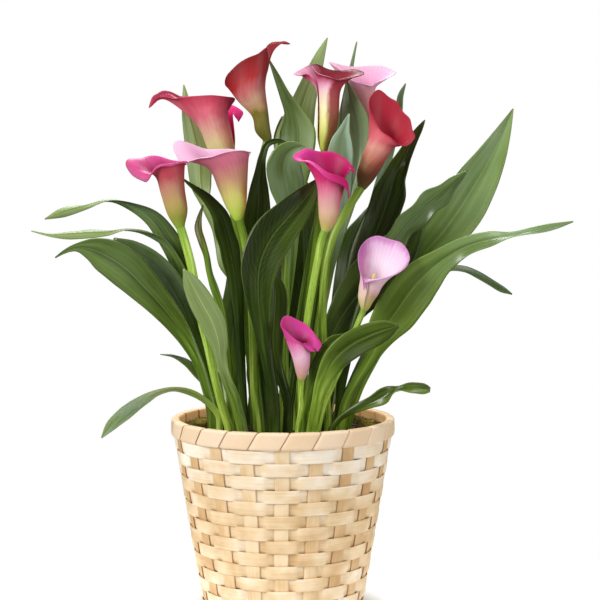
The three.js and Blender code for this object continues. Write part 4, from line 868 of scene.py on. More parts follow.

# %% [markdown]
# Each flower's colours are listed from the stem to the rim: how far along, then red, green and blue as
# seen on a screen. outer is the left flank of the outside and flank its right one, and split says where,
# from 0 at the left to 1 at the right, the one goes over into the other. inner is the inside, and shade is
# the inside of the left flank. The two flanks differ partly in the spathe's own colour and partly as painted
# light and shade: the outside's right flank and the inside's left flank face away from the main lamp and are
# mostly painted darker. Each flower has its own colours, because on a real plant a spathe opens green and
# pale and darkens as it ages.

# %% The flowers' colours
PALETTES = {
    "a": dict(outer=[(0.0, 132, 168, 52), (0.14, 142, 166, 54), (0.27, 150, 158, 58), (0.4, 180, 156, 92),
                     (0.52, 188, 132, 112), (0.62, 184, 72, 84), (0.85, 178, 42, 78), (1.0, 172, 50, 96)],
              flank=[(0.0, 112, 124, 40), (0.27, 130, 118, 48), (0.45, 142, 84, 60), (0.68, 157, 54, 67),
                     (0.85, 160, 30, 64), (1.0, 176, 44, 92)],
              inner=[(0.5, 104, 12, 46), (0.72, 146, 22, 74), (0.86, 208, 74, 144), (0.94, 192, 66, 124),
                     (1.0, 150, 48, 88)],
              shade=[(0.5, 108, 14, 50), (0.75, 164, 38, 94), (0.9, 200, 68, 134), (1.0, 180, 70, 120)]),
    "b": dict(outer=[(0.0, 176, 190, 92), (0.35, 200, 198, 116), (0.5, 219, 203, 149), (0.6, 218, 160, 148),
                     (0.7, 210, 104, 120), (0.85, 196, 68, 92), (1.0, 172, 42, 68)],
              flank=[(0.0, 176, 190, 92), (0.35, 200, 180, 110), (0.5, 192, 132, 104), (0.62, 166, 64, 80),
                     (0.8, 160, 48, 68), (1.0, 166, 46, 76)],
              inner=[(0.4, 170, 36, 90), (0.66, 216, 30, 118), (1.0, 232, 44, 140)],
              shade=[(0.4, 130, 30, 60), (1.0, 168, 44, 80)]),
    "c": dict(outer=[(0.0, 176, 212, 66), (0.26, 200, 222, 92), (0.42, 211, 203, 116), (0.55, 200, 148, 120),
                     (0.67, 196, 106, 126), (0.86, 192, 100, 126), (1.0, 214, 150, 184)],
              flank=[(0.0, 140, 168, 44), (0.3, 178, 160, 68), (0.45, 166, 108, 58), (0.56, 168, 120, 88),
                     (0.7, 176, 90, 108), (1.0, 198, 112, 142)],
              inner=[(0.4, 196, 124, 154), (0.8, 232, 184, 214), (1.0, 238, 198, 226)],
              shade=[(0.4, 192, 120, 150), (0.8, 224, 168, 204), (1.0, 232, 186, 216)]),
    "d": dict(outer=[(0.0, 96, 100, 26), (0.36, 104, 102, 30), (0.5, 122, 112, 38), (0.54, 184, 150, 98),
                     (0.6, 200, 160, 130), (0.68, 188, 104, 104), (0.78, 166, 38, 44), (1.0, 124, 16, 22)],
              flank=[(0.0, 84, 86, 22), (0.5, 92, 80, 26), (0.54, 136, 96, 64), (0.64, 150, 92, 88),
                     (0.78, 136, 34, 42), (1.0, 128, 24, 32)],
              inner=[(0.4, 90, 12, 26), (0.8, 126, 18, 34), (1.0, 142, 26, 42)],
              shade=[(0.4, 90, 12, 26), (1.0, 126, 20, 36)]),
    # The last stops of e's outer and inner colours are painted shade along the lip's edge.
    "e": dict(split=(0.42, 0.68),
              outer=[(0.0, 172, 190, 62), (0.3, 196, 204, 98), (0.44, 234, 234, 146), (0.54, 246, 242, 190),
                     (0.66, 244, 196, 210), (0.76, 226, 136, 168), (0.86, 178, 54, 94), (0.97, 150, 32, 62),
                     (1.0, 104, 20, 42)],
              flank=[(0.0, 140, 140, 50), (0.3, 140, 110, 50), (0.45, 138, 80, 54), (0.6, 166, 68, 72),
                     (0.75, 172, 54, 72), (0.9, 128, 22, 40), (1.0, 112, 16, 32)],
              inner=[(0.4, 112, 12, 34), (0.8, 134, 18, 40), (0.93, 116, 14, 34), (1.0, 96, 14, 32)],
              shade=[(0.4, 150, 30, 66), (0.75, 200, 110, 146), (0.9, 218, 152, 182), (1.0, 222, 166, 190)]),
    "f": dict(outer=[(0.0, 186, 204, 98), (0.22, 200, 180, 108), (0.38, 222, 180, 155), (0.5, 226, 158, 165),
                     (0.6, 224, 112, 150), (0.7, 212, 48, 116), (0.85, 198, 22, 100), (1.0, 210, 34, 122)],
              flank=[(0.0, 170, 180, 84), (0.25, 200, 160, 116), (0.48, 204, 116, 130), (0.64, 162, 40, 70),
                     (0.85, 150, 34, 66), (1.0, 190, 46, 112)],
              inner=[(0.4, 104, 4, 44), (0.72, 160, 6, 76), (0.9, 184, 10, 98), (1.0, 194, 20, 112)],
              shade=[(0.4, 104, 6, 46), (0.75, 174, 20, 100), (0.9, 198, 44, 132), (1.0, 208, 64, 150)]),
    "g": dict(outer=[(0.0, 160, 136, 96), (0.3, 184, 124, 122), (0.6, 204, 142, 154), (0.8, 220, 160, 184),
                     (1.0, 230, 176, 206)],
              flank=[(0.0, 160, 136, 96), (0.4, 196, 132, 140), (0.8, 224, 166, 192), (1.0, 234, 184, 212)],
              inner=[(0.4, 196, 124, 150), (0.8, 226, 166, 200), (1.0, 232, 184, 212)],
              shade=[(0.4, 196, 124, 150), (0.8, 222, 162, 192), (1.0, 234, 186, 212)]),
    "h": dict(outer=[(0.0, 110, 112, 44), (0.26, 104, 80, 40), (0.44, 128, 78, 48), (0.5, 176, 108, 86),
                     (0.6, 208, 142, 128), (0.7, 206, 100, 110), (0.86, 200, 80, 96), (1.0, 172, 40, 62)],
              flank=[(0.0, 96, 90, 36), (0.35, 104, 58, 38), (0.5, 150, 70, 56), (0.62, 186, 92, 92),
                     (0.8, 176, 60, 76), (1.0, 168, 44, 66)],
              inner=[(0.4, 150, 20, 42), (0.75, 168, 22, 46), (1.0, 160, 24, 48)],
              shade=[(0.4, 140, 18, 38), (0.75, 158, 22, 42), (1.0, 150, 24, 44)]),
    "i": dict(outer=[(0.0, 166, 180, 74), (0.25, 214, 200, 138), (0.42, 232, 204, 186), (0.7, 234, 194, 216),
                     (1.0, 212, 148, 196)],
              flank=[(0.0, 158, 170, 72), (0.25, 186, 172, 100), (0.42, 196, 160, 124),
                     (0.56, 226, 186, 196), (1.0, 238, 206, 232)],
              inner=[(0.3, 214, 190, 110), (0.44, 226, 178, 140), (0.56, 230, 202, 216),
                     (0.8, 236, 214, 232), (0.93, 226, 188, 222), (1.0, 198, 130, 188)],
              shade=[(0.3, 170, 130, 84), (0.5, 184, 112, 124), (0.68, 184, 110, 154), (0.85, 182, 106, 160),
                     (1.0, 170, 96, 156)]),
    "j": dict(outer=[(0.0, 196, 190, 116), (0.2, 214, 166, 146), (0.35, 220, 168, 176), (0.5, 238, 190, 216),
                     (0.64, 230, 134, 184), (0.78, 204, 72, 140), (1.0, 210, 58, 150)],
              flank=[(0.0, 176, 170, 110), (0.3, 210, 150, 160), (0.5, 220, 150, 186), (0.68, 188, 62, 124),
                     (1.0, 196, 50, 136)],
              inner=[(0.4, 112, 16, 48), (0.68, 146, 24, 74), (0.84, 198, 60, 142), (1.0, 206, 54, 144)],
              shade=[(0.4, 112, 16, 48), (0.75, 152, 30, 84), (0.9, 190, 48, 126), (1.0, 198, 48, 134)]),
}
print("colours for", ", ".join(PALETTES))

# %% [markdown]
# A spathe is waxy, with long fine veins from foot to rim, and its colours run into each other along those
# veins. The finish therefore bends each colour border with a noise that is drawn out along the grid, and
# then adds the veins as a darker tone and a faint relief. Its points carry inside, 1 on the inner face, and
# right, which goes from 0 on the left flank to 1 on the right one.

# %% Spathe finish
USUAL_SPLIT = (0.45, 0.9)


def spathe_finish(name, palette):
    wax = Finish("spathe_" + name)
    around, along = wax.grid_map()
    streaks = wax.speckle(wax.vector(around * 46, along * 2.2, 0.0), 1.6, 1.0)
    clouds = wax.speckle(wax.vector(around * 7, along * 3.5, 4.0), 1.3, 3.0)
    veins = (around * 230 + clouds * 6).wave() * 0.5 + 0.5
    place = (along + (streaks - 0.5) * 0.07 + (clouds - 0.5) * 0.1).held()
    faces = ("outer", "flank", "inner", "shade")
    outer, flank, inner, shade = (wax.ramp(place, *palette[face]) for face in faces)

    # The right flank outside and the left flank inside get colours that are partly the spathe's own and
    # partly painted shade.
    sideways = wax.value("right") + (clouds - 0.5) * 0.4
    outside = wax.blend(sideways.step(*palette.get("split", USUAL_SPLIT)), outer, flank)
    within = wax.blend(sideways.step(0.08, 0.5), shade, inner)
    colour = wax.blend(wax.value("inside"), outside, within)
    vein_colour = wax.blend(1.0, colour, tint(206, 150, 160), "MULTIPLY")
    return wax.wear(
        Base_Color=wax.blend(veins * 0.1, colour, vein_colour), Roughness=0.5 + (streaks - 0.5) * 0.16,
        Normal=wax.bump(veins * 0.15 + streaks * 0.7, 0.14, 0.4 * MM), Specular_IOR_Level=0.3,
    )


SPATHE_FINISH = {name: spathe_finish(name, palette) for name, palette in PALETTES.items()}
print(len(SPATHE_FINISH), "spathe finishes")

# %% [markdown]
# Stems are juicy and smooth, with long streaks of lighter green, and turn deep green where they enter the
# spathe. A little light goes into them, so they have some subsurface scattering. The spadix is covered in
# tiny flowers, which at this size are beads: a Voronoi texture gives both their colour and their relief.

# %% Stem and spadix finishes
def stem_finish(name, deep, middle, pale):
    green = Finish(name)
    around, along = green.grid_map()
    streaks = green.speckle(green.vector(around * 8, along * 2.6, green.value("strip")), 2.0, 3.0)
    grain = green.speckle(green.place(), 420, 2.0)
    shade = (streaks + (grain - 0.5) * 0.12).held()
    colour = green.ramp(shade, (0.3, *deep), (0.52, *middle), (0.74, *pale))
    return green.wear(
        Base_Color=green.blend(along.step(0.88, 1.0) * 0.75, colour, tint(*deep)),
        Roughness=0.36 + (streaks - 0.5) * 0.2, Normal=green.bump(streaks + grain * 0.2, 0.25, 0.4 * MM),
        Subsurface_Weight=0.1, Subsurface_Scale=0.003,
    )


def spadix_finish():
    wax = Finish("spadix")
    beads = wax.beads(wax.place(), 1500.0)
    grain = wax.speckle(wax.place(), 300, 3.0)
    colour = wax.ramp(beads + (grain - 0.5) * 0.4,
                      (0.1, 250, 236, 176), (0.6, 236, 204, 96), (1.0, 180, 140, 50))
    return wax.wear(Base_Color=colour, Roughness=0.6 + (grain - 0.5) * 0.2,
                    Normal=wax.bump(1 - beads, 0.8, 0.4 * MM))


STEM_FINISH = {
    "lime": stem_finish("stem_lime", (112, 152, 38), (162, 198, 72), (208, 230, 126)),
    "olive": stem_finish("stem_olive", (102, 132, 34), (134, 166, 48), (170, 192, 82)),
}
SPADIX_FINISH = spadix_finish()
print("stem and spadix finishes ready")

# %% [markdown]
# A stem is a closed skin round its course, and just fits into the foot of the spathe. The spadix stands
# on its end inside the tube, and is its own piece, because it has its own beaded finish. Both are round, so
# one function makes them from a line and a radius at each knot.

# %% Stems and spadices
SPADIX_HEIGHTS = np.array([[-0.05], [0.2], [0.5], [0.78], [0.93], [0.98]])
SPADIX_RADII = np.array([0.9, 1.05, 1.0, 0.8, 0.45, 0.08])
FOOT_WALL = 0.7


def ring_centres(flower):
    rings = np.array(flower["rings"], float)
    return seen(rings[:, 0], rings[:, 1], np.full(len(rings), float(flower["depths"][1])))


def stem_knots(flower):
    """The stem's places up to the spathe's foot."""
    return shoot_places(flower["root"], flower["depths"], flower["course"] + [flower["rings"][0][:2]])


def round_skin(name, places, radii, rows, around=16, strip=0.0):
    """A closed round skin along places, with a radius at each."""
    at, lengths, whole = spine_of(places)

    def lay(u, v):
        here, along, _ = at(v)
        radius = glide(lengths, np.asarray(radii, float), v * whole, level=True)
        right, normal = directions_at(here, along, np.zeros(len(v)))
        turn = math.tau * u
        outwards = right * np.cos(turn)[:, None] + normal * np.sin(turn)[:, None]
        return here + outwards * radius[:, None], {"strip": strip}

    return close_skin(lay_grid(name, around, rows, lay))


def stem_and_spadix(flower, number):
    name, green = flower["name"], flower["green"]
    places = stem_knots(flower)
    radii = [flower["stem"]] * (len(places) - 1) + [flower["rings"][0][2] - FOOT_WALL]
    stem = round_skin("stem_skin_" + name, places, radii, 90, strip=number * 2.3)
    dress(stem, STEM_FINISH[green], "stem_" + green, "stem_" + name)
    centres = ring_centres(flower)
    heights = centres[0] + (centres[-1] - centres[0]) * (SPADIX_HEIGHTS * flower.get("reach", 1))
    spadix = round_skin("spadix_" + name, heights, SPADIX_RADII * flower["neck"], 40, around=20)
    dress(spadix, SPADIX_FINISH, "stem_" + green, "stem_" + name)


print("a spadix has", len(SPADIX_RADII), "knots")

# %% [markdown]
# The spathe is a grid laid round the tube and out to the rim. Its rows are worked out first: one tight on
# the stem, four round the rings, one about half way out on the limb, and the rim itself. Down the tube the
# two side edges overlap like a rolled sheet of paper, so the roll can be seen.

# %% Rows of a spathe
FOOT_OVERLAP = 10
WRAP_OVERLAP = 22
WRAP_STEPS = (0.1, 0.6, 1.8, 1.8, 1.8)
MOUTH_OPENING = -6
LIMB_SHARE = 0.55


def spathe_rows(flower):
    """Control points of the spathe, row by row from the stem to the rim."""
    centres = ring_centres(flower)
    stem_end = stem_knots(flower)[-2]
    below = centres[0] + unit(stem_end - centres[0]) * 3
    centres = np.concatenate([[below], centres])
    radii = [flower["stem"] - 0.4] + [ring[2] for ring in flower["rings"]]
    labels = np.array([point[0] for point in flower["rim"]], float)
    share = (labels - (flower["seam"] - MOUTH_OPENING)) / (360 + 2 * MOUTH_OPENING)
    ends = np.concatenate([centres[:1], centres, centres[-1:]])
    along = unit(ends[2:] - ends[:-2])
    slit = flower.get("slit", 0)
    overlaps = (FOOT_OVERLAP, WRAP_OVERLAP, WRAP_OVERLAP, WRAP_OVERLAP * 0.9 - slit, WRAP_OVERLAP / 2 - slit)
    rows = []
    for k, centre in enumerate(centres):
        right, normal = directions_at(centre[None], along[k][None], np.zeros(1))
        seam = flower["seam"] - flower.get("spiral", 0) * (4 - max(k, 1)) / 3
        angle = np.radians(seam - overlaps[k] + share * (360 + 2 * overlaps[k]))[:, None]
        radius = (radii[k] + WRAP_STEPS[k] * (share - 0.5))[:, None]
        rows.append(centre + (normal * np.cos(angle) + right * np.sin(angle)) * radius)
    rim = np.array([point[:4] for point in flower["rim"]], float)
    lift = flower.get("arch", 0) + np.array([point[4] if len(point) > 4 else 0 for point in flower["rim"]])
    edge = seen(rim[:, 1], rim[:, 2], flower["depths"][1] + rim[:, 3])
    limb = rows[-1] + (edge - rows[-1]) * LIMB_SHARE + along[-1] * lift[:, None]
    return np.array(rows + [limb, edge]), along[-1], labels


print("flower a has", len(spathe_rows(FLOWERS[0])[0]), "rows of control points")

# %% [markdown]
# The rows become a fine sheet: a smooth curve along each row, then a smooth curve across the rows. The lip
# rolls back a little and ripples. A Solidify modifier gives the sheet its waxy thickness, and because it
# puts the second face's points after the first's, the points of the inner face are easy to tell.

# %% The spathes
SPATHE_THICKNESS = 0.6
LIP_ROLL = 1.3
LIP_RIPPLE = 0.5


def read_rows(rows, spot, v):
    """The smooth surface through the rows, read at column number spot and at v from the stem to the rim."""
    count, columns = rows.shape[:2]
    knots = np.arange(count) / (count - 1)
    read = np.stack([glide(np.arange(columns), row, spot) for row in rows])
    flat = read.transpose(1, 0, 2)
    point = np.empty((len(spot), 3))
    for step in np.unique(v):
        here = v == step
        line = flat[here].transpose(1, 0, 2).reshape(count, -1)
        point[here] = glide(knots, line, np.array([step]))[0].reshape(-1, 3)
    return point


def spathe_skin(flower):
    rows, axis, labels = spathe_rows(flower)
    columns = rows.shape[1]

    def lay(u, v):
        spot = u * (columns - 1)
        point = read_rows(rows, spot, v)
        point = point - axis * (LIP_ROLL * ease(v, 0.86, 1.0) ** 2)[:, None]
        label = np.interp(spot, np.arange(columns), labels)
        ripple = np.sin(np.radians(label) * 5 + flower["seam"]) * LIP_RIPPLE * ease(v, 0.7, 1.0)
        point = point + axis * ripple[:, None]
        return point, {"right": 0.5 + 0.5 * np.sin(np.radians(label)), "inside": 0.0}

    piece = lay_grid("spathe_skin_" + flower["name"], 108, 56, lay)
    take(piece)
    skin = piece.modifiers.new("thickness", "SOLIDIFY")
    skin.thickness = SPATHE_THICKNESS * MM
    skin.offset = 0
    outer_points = len(piece.data.vertices)
    bpy.ops.object.modifier_apply(modifier=skin.name)
    inside = np.zeros(len(piece.data.vertices), np.float32)
    inside[outer_points:] = 1
    piece.data.attributes["inside"].data.foreach_set("value", inside)
    bpy.ops.object.shade_smooth()
    return piece


for number, flower in enumerate(FLOWERS):
    name = flower["name"]
    stem_and_spadix(flower, number)
    dress(spathe_skin(flower), SPATHE_FINISH[name], "spathe_" + name, "spathe_" + name)
print(len(FLOWERS), "flowers rolled")

# %% [markdown]
# ## Bamboo finish
#
# The basket is made of strips split from bamboo cane: pale, straw coloured, with straight fibres along the
# strip, a soft shine, and edges where the plane has bruised them. No two strips have the same tone. Each
# strip's points carry how far along it they are (run), where across it (cross, -1 to 1) and its own number
# (strip), so the fibres follow the strip wherever it bends. Inside the rim the cane is thin and orange, and
# there it is painted lighter and given a faint glow, as painted light where the lamps hardly reach.

# %% Bamboo finish
RIM_INSIDE = (84.4, 86.4)
RIM_FOOT = 140.5


def bamboo_finish(name, dark, middle, pale, spread=0.24, fibre=0.5, shine=0.46):
    cane = Finish(name)
    run, cross, strip = cane.value("run"), cane.value("cross"), cane.value("strip")
    fibres = cane.speckle(cane.vector(run * 0.018, cross * 5.5, strip * 7.3), 1.0, 4.0, 0.7)
    threads = cane.speckle(cane.vector(run * 0.03, cross * 22, strip * 3.1), 1.0, 2.0)
    clouds = cane.speckle(cane.vector(run * 0.04, cross * 0.3, strip * 5.7), 1.0, 2.0)
    own = (strip * 12.9898).wave() * spread
    worn = abs(cross).step(0.9, 1.0)
    grain = (fibres - 0.5) * fibre + (threads - 0.5) * fibre * 0.5
    tone = (0.62 + own + grain + (clouds - 0.5) * spread * 4.6).held()
    colour = cane.ramp(tone, (0.1, *dark), (0.5, *middle), (0.9, *pale))

    to_mm = (1 / MM, 1 / MM, 0.0)
    flat_place = cane.node("ShaderNodeVectorMath", {"operation": "MULTIPLY"}, cane.place(), to_mm)
    from_axis = cane.node("ShaderNodeVectorMath", {"operation": "LENGTH"}, flat_place)
    inner = (1 - from_axis.step(*RIM_INSIDE)) * (cane.parts(cane.place())[2] > RIM_FOOT * MM)
    # Inside the rim the colour is made lighter and a faint emission is added: painted light over the cane's
    # own orange.
    colour = cane.blend(inner, colour, cane.blend(fibres, tint(238, 186, 126), tint(255, 226, 176)))
    bruise = cane.blend(1.0, colour, tint(206, 168, 128), "MULTIPLY")
    colour = cane.blend(worn * (0.35 + inner * 0.65), colour, bruise)
    painted_inside_light = cane.blend(inner * (1 - worn), (0, 0, 0, 1), tint(250, 186, 130))
    height = (fibres * 0.6 + threads * 0.4) * fibre
    return cane.wear(
        Base_Color=colour, Roughness=shine + (fibres - 0.5) * 0.3, Normal=cane.bump(height, 0.8, 0.35 * MM),
        Specular_IOR_Level=0.45, Emission_Color=painted_inside_light, Emission_Strength=0.2,
    )


WEAVER_FINISH = bamboo_finish("bamboo_weavers", (208, 168, 114), (237, 210, 168), (255, 245, 228))
STAKE_FINISH = bamboo_finish("bamboo_stakes", (194, 150, 96), (220, 184, 134), (244, 220, 182))
RIM_FINISH = bamboo_finish("bamboo_lashing", (212, 176, 132), (236, 207, 172), (246, 225, 198), 0.08, 0.16)
print("bamboo finishes ready")

# %% [markdown]
# ## The woven wall
#
# Twenty upright stakes are held by rows of flat weavers, one strip high each, that pass in front of one
# stake and behind the next; the row above does the opposite. A raised pattern on one shell would look the
# same from afar, but the strips' own edges, gaps and shadows are what makes a basket look woven, so every
# strip is made. A strip is a flat tube whose section is a rounded bar, and its path swings in and out.

# %% Measures of the basket
FOOT_RADIUS = 64.6
WALL_SLOPE = 0.164
WALL_TOP = 143
STAKES = 20
WEAVE_ROWS = 13
ROW_PITCH = 10.1
FOOT_BAND = 9.4
STRIP_THICKNESS = 0.9
WEAVER_SWING = 1.1
STAKE_SWING = 0.22
STAKE_WIDTH = 11
STAKE_TURN = 2 * math.pi / STAKES


def wall_middle(z):
    """The radius half way through the weave, so that its outermost strips touch the frame's wall."""
    return FOOT_RADIUS + WALL_SLOPE * z - 0.85 * WEAVER_SWING - STRIP_THICKNESS / 2


def row_middle(row):
    return FOOT_BAND + (row + 0.5) * ROW_PITCH


def in_front(stake, row):
    """1 where the weaver of this row passes in front of this stake, -1 where it passes behind."""
    return 1.0 if (stake + row) % 2 == 0 else -1.0


print("a stake every", round(math.degrees(STAKE_TURN), 1), "degrees")

# %% [markdown]
# All the strips come from one function. It is given a formula that says where a point of the strip's
# section lies: so far across the strip, so far out of it, and so far along. Loose strips are then joined
# into one piece for each kind.

# %% A strip of bamboo
STRIP_CROWN = 0.12
EDGE_ROUNDING = 0.3
FACE_ROUNDING = 0.6


def polar(radius, angle, z):
    return np.stack([radius * np.cos(angle), radius * np.sin(angle), z + 0 * radius], axis=-1)


def strip_skin(name, number, length, width, rows, place, around=14):
    """A flat strip. place(across, out, v) says where a point of its section lies, v along it from 0 to 1."""

    def lay(u, v):
        turn = math.tau * u
        across = np.sign(np.cos(turn)) * np.abs(np.cos(turn)) ** EDGE_ROUNDING
        out = np.sign(np.sin(turn)) * np.abs(np.sin(turn)) ** FACE_ROUNDING
        crown = STRIP_CROWN * (1 - across**2)
        point = place(across * width / 2, (out * STRIP_THICKNESS / 2) + crown * np.sign(out), v)
        return point, {"cross": across, "run": v * length, "strip": number}

    return close_skin(lay_grid(name, around, rows, lay))


def join(pieces, name):
    bpy.ops.object.select_all(action="DESELECT")
    for piece in pieces:
        piece.select_set(True)
    bpy.context.view_layer.objects.active = pieces[0]
    bpy.ops.object.join()
    pieces[0].name = pieces[0].data.name = name
    return pieces[0]


print("a strip is", STRIP_THICKNESS, "mm thick")

# %% [markdown]
# A stake stands upright, bends a little in and out against the weavers, and leans a little of its own
# accord, because no basket maker sets twenty stakes quite straight.

# %% Stakes
STAKE_BOTTOM = 0.6
STAKE_LENGTH = WALL_TOP - 1.0
STAKE_LEAN = 0.6
LEAN_LENGTH = 26


def make_stake(stake):
    angle = stake * STAKE_TURN
    wobble = random.Random(stake).uniform(-STAKE_LEAN, STAKE_LEAN)

    def place(across, out, v):
        z = STAKE_BOTTOM + v * STAKE_LENGTH
        swing = np.cos(math.pi * (z - row_middle(0)) / ROW_PITCH) * in_front(stake, 0)
        swing = np.where(z < FOOT_BAND, -1.0, -swing)
        radius = wall_middle(z) + STAKE_SWING * swing + out
        lean = wobble * np.sin(z / LEAN_LENGTH + stake)
        return polar(radius, angle + (across + lean) / wall_middle(z), z)

    return strip_skin(f"stake_{stake}", 40.0 + stake * 1.37, WALL_TOP, STAKE_WIDTH, 84, place)


stakes = join([make_stake(stake) for stake in range(STAKES)], "stakes")
dress(stakes, STAKE_FINISH, "bamboo_weave", "basket_wall")
print("stakes:", len(stakes.data.polygons), "faces")

# %% [markdown]
# A weaver goes once round. It swings out in front of every second stake and in behind the others. A plain
# sine would make it round between them, so the swing is squared up with a tanh, which gives the flat faces
# and short bends of stiff cane. At the foot, a band outside and a band inside hold the stakes' ends.

# %% Weavers
WEAVER_LENGTH = 540
BAND_LENGTH = 420
EXTRA_WIDTH = (0.25, 0.7)
SWING_SQUARENESS = 4
OUTWARD_SHARE = 0.12


def make_weaver(row):
    rng = random.Random(100 + row)
    middle = row_middle(row)
    start = rng.uniform(0, math.tau)

    def place(across, out, v):
        angle = v * math.tau
        turn = np.cos(math.pi * angle / STAKE_TURN) * in_front(0, row)
        swing = np.tanh(SWING_SQUARENESS * (turn + OUTWARD_SHARE)) / math.tanh(SWING_SQUARENESS)
        drift = 0.25 * np.sin(2 * angle + start) + 0.12 * np.sin(7 * angle + 2 * start)
        z = middle + across + drift
        radius = wall_middle(z) + WEAVER_SWING * swing + out
        return polar(radius, angle, z)

    width = ROW_PITCH + rng.uniform(*EXTRA_WIDTH)
    return strip_skin(f"weaver_{row}", row * 1.91, WEAVER_LENGTH, width, 320, place)


def make_foot_band(level):
    def place(across, out, v):
        z = FOOT_BAND / 2 + across
        return polar(wall_middle(z) + WEAVER_SWING * level + out, v * math.tau, z)

    return strip_skin(f"foot_band_{level}", 25.0 + level, BAND_LENGTH, FOOT_BAND - 0.6, 128, place)


weavers = [make_weaver(row) for row in range(WEAVE_ROWS)] + [make_foot_band(1), make_foot_band(-1)]
weavers = join(weavers, "weavers")
dress(weavers, WEAVER_FINISH, "bamboo_weave", "basket_wall")
print("weavers:", len(weavers.data.polygons), "faces")

# %% [markdown]
# ## The lashed rim
#
# A flat strip is wound over the rim's hoop, each turn beside the last, leaning as it crosses the outside and
# straight on the inside. One turn is modelled: a strip laid round the hoop's section and back to its
# start, with one edge tucked down as if the turn beside it lay over it. The others are copies, turned about
# the basket's axis, each with a number of its own for its tone.

# %% Lashing
RIM_TOP = 154.5
RIM_OUTER = 90
RIM_INNER = 83.2
BAND_BOTTOM = 141.2
RIM_WRAPS = 23
WRAP_SLANT = 8
WRAP_GAP = 0.25
WRAP_LENGTH = 44
WRAP_DEPTH = 0.5
WRAP_TURN = 2 * math.pi / RIM_WRAPS
CORNER = 1.3


def rim_section(v):
    """The middle line of a turn round the hoop, up the outside first: radius, height and the way out."""
    outer, inner = RIM_OUTER - STRIP_THICKNESS / 2, RIM_INNER + STRIP_THICKNESS / 2
    top, bottom = RIM_TOP - STRIP_THICKNESS / 2, BAND_BOTTOM + STRIP_THICKNESS / 2
    corners = [(outer, bottom, 0), (outer, top, 90), (inner, top, 180), (inner, bottom, 270)]
    knots = []
    for radius, height, first in corners:
        inward = (-CORNER if radius == outer else CORNER, -CORNER if height == top else CORNER)
        for angle in np.radians(np.arange(first - 90, first + 1, 30)):
            knots.append((radius + inward[0] + CORNER * math.cos(angle),
                          height + inward[1] + CORNER * math.sin(angle), math.cos(angle), math.sin(angle)))
    knots.append(knots[0])
    knots = np.array(knots)
    run = np.concatenate([[0], np.cumsum(np.maximum(np.hypot(*np.diff(knots[:, :2], axis=0).T), 0.01))])
    return [np.interp(v * run[-1], run, knots[:, k]) for k in range(4)]


def make_wrap():
    def place(across, out, v):
        radius, z, way_out, way_up = rim_section(v)
        outside = ease(radius, RIM_INNER + 2, RIM_OUTER - 1.5)
        slant = outside * (z - RIM_TOP) / (RIM_TOP - BAND_BOTTOM) * WRAP_SLANT
        tuck = WRAP_DEPTH * ease(across, -12, -10) - WRAP_DEPTH
        out = out + tuck
        return polar(radius + out * way_out, (across + slant) / RIM_OUTER, z + out * way_up)

    width = RIM_OUTER * WRAP_TURN - WRAP_GAP
    return strip_skin("wrap_0", 60.0, WRAP_LENGTH, width, 60, place, around=24)


def turned_copy(piece, angle, name, number):
    copy = piece.copy()
    copy.data = piece.data.copy()
    copy.name = copy.data.name = name
    bpy.context.scene.collection.objects.link(copy)
    copy.data.transform(Matrix.Rotation(angle, 4, "Z"))
    count = len(copy.data.vertices)
    copy.data.attributes["strip"].data.foreach_set("value", np.full(count, number, np.float32))
    return copy


first_wrap = make_wrap()
wraps = [turned_copy(first_wrap, k * WRAP_TURN, f"wrap_{k}", 60 + k * 2.17) for k in range(1, RIM_WRAPS)]
lashing = join([first_wrap] + wraps, "lashing")
dress(lashing, RIM_FINISH, "bamboo_lashing", "rim_binding")
print("lashing:", len(lashing.data.polygons), "faces")

# %% [markdown]
# ## Hoop, base, pot and soil
#
# These four keep the frame's own plain shapes, because nearly nothing of them is seen: the hoop is under its
# lashing, the pot is inside, the base is underneath, and the soil is under crumbs. They only get
# materials, with fibres or grain so that they hold up close to.

# %% Plain pieces
def plain_cane_finish():
    cane = Finish("bamboo_plain")
    x, y, _ = cane.parts(cane.place())
    fibres = cane.speckle(cane.vector(x * 12, y * 900, 0.0), 1.0, 3.0)
    colour = cane.ramp(fibres, (0.3, 196, 150, 98), (0.7, 226, 192, 142))
    return cane.wear(Base_Color=colour, Roughness=0.5 + (fibres - 0.5) * 0.3,
                     Normal=cane.bump(fibres, 0.4, 0.3 * MM))


def pot_finish():
    plastic = Finish("pot_plastic")
    grain = plastic.speckle(plastic.place(), 900, 3.0)
    colour = plastic.blend(grain, tint(38, 50, 34), tint(56, 72, 48))
    return plastic.wear(Base_Color=colour, Roughness=0.5 + (grain - 0.5) * 0.2,
                        Normal=plastic.bump(grain, 0.2, 0.1 * MM))


def soil_finish():
    earth = Finish("soil")
    clods = earth.speckle(earth.place(), 160, 6.0, 0.7)
    chips = earth.beads(earth.place(), 420.0)
    tone = (clods * 0.7 + chips * 0.5 - 0.1).held()
    colour = earth.ramp(tone, (0.2, 30, 20, 14), (0.5, 62, 42, 28), (0.75, 104, 74, 48))
    return earth.wear(Base_Color=colour, Roughness=0.85 + (clods - 0.5) * 0.2,
                      Normal=earth.bump(clods + chips * 0.5, 0.9, 2 * MM))


SOIL_FINISH = soil_finish()
PLAIN_CANE = plain_cane_finish()
for node_name, finish in {
    "rim_hoop": PLAIN_CANE, "basket_base": PLAIN_CANE, "nursery_pot": pot_finish(), "soil": SOIL_FINISH,
}.items():
    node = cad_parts[node_name]
    node.data.materials.clear()
    node.data.materials.append(finish)
print("plain pieces dressed")

# %% [markdown]
# ## Moss
#
# Dry moss hides the pot's edge. It is olive, straw and almost black from one sprig to the next, and quite
# matt. Under the sprigs lies a bed: a grid rolled into a ring with a flat foot, whose top is roughened with
# a fractal noise. Without it, the pot would show through between the sprigs.

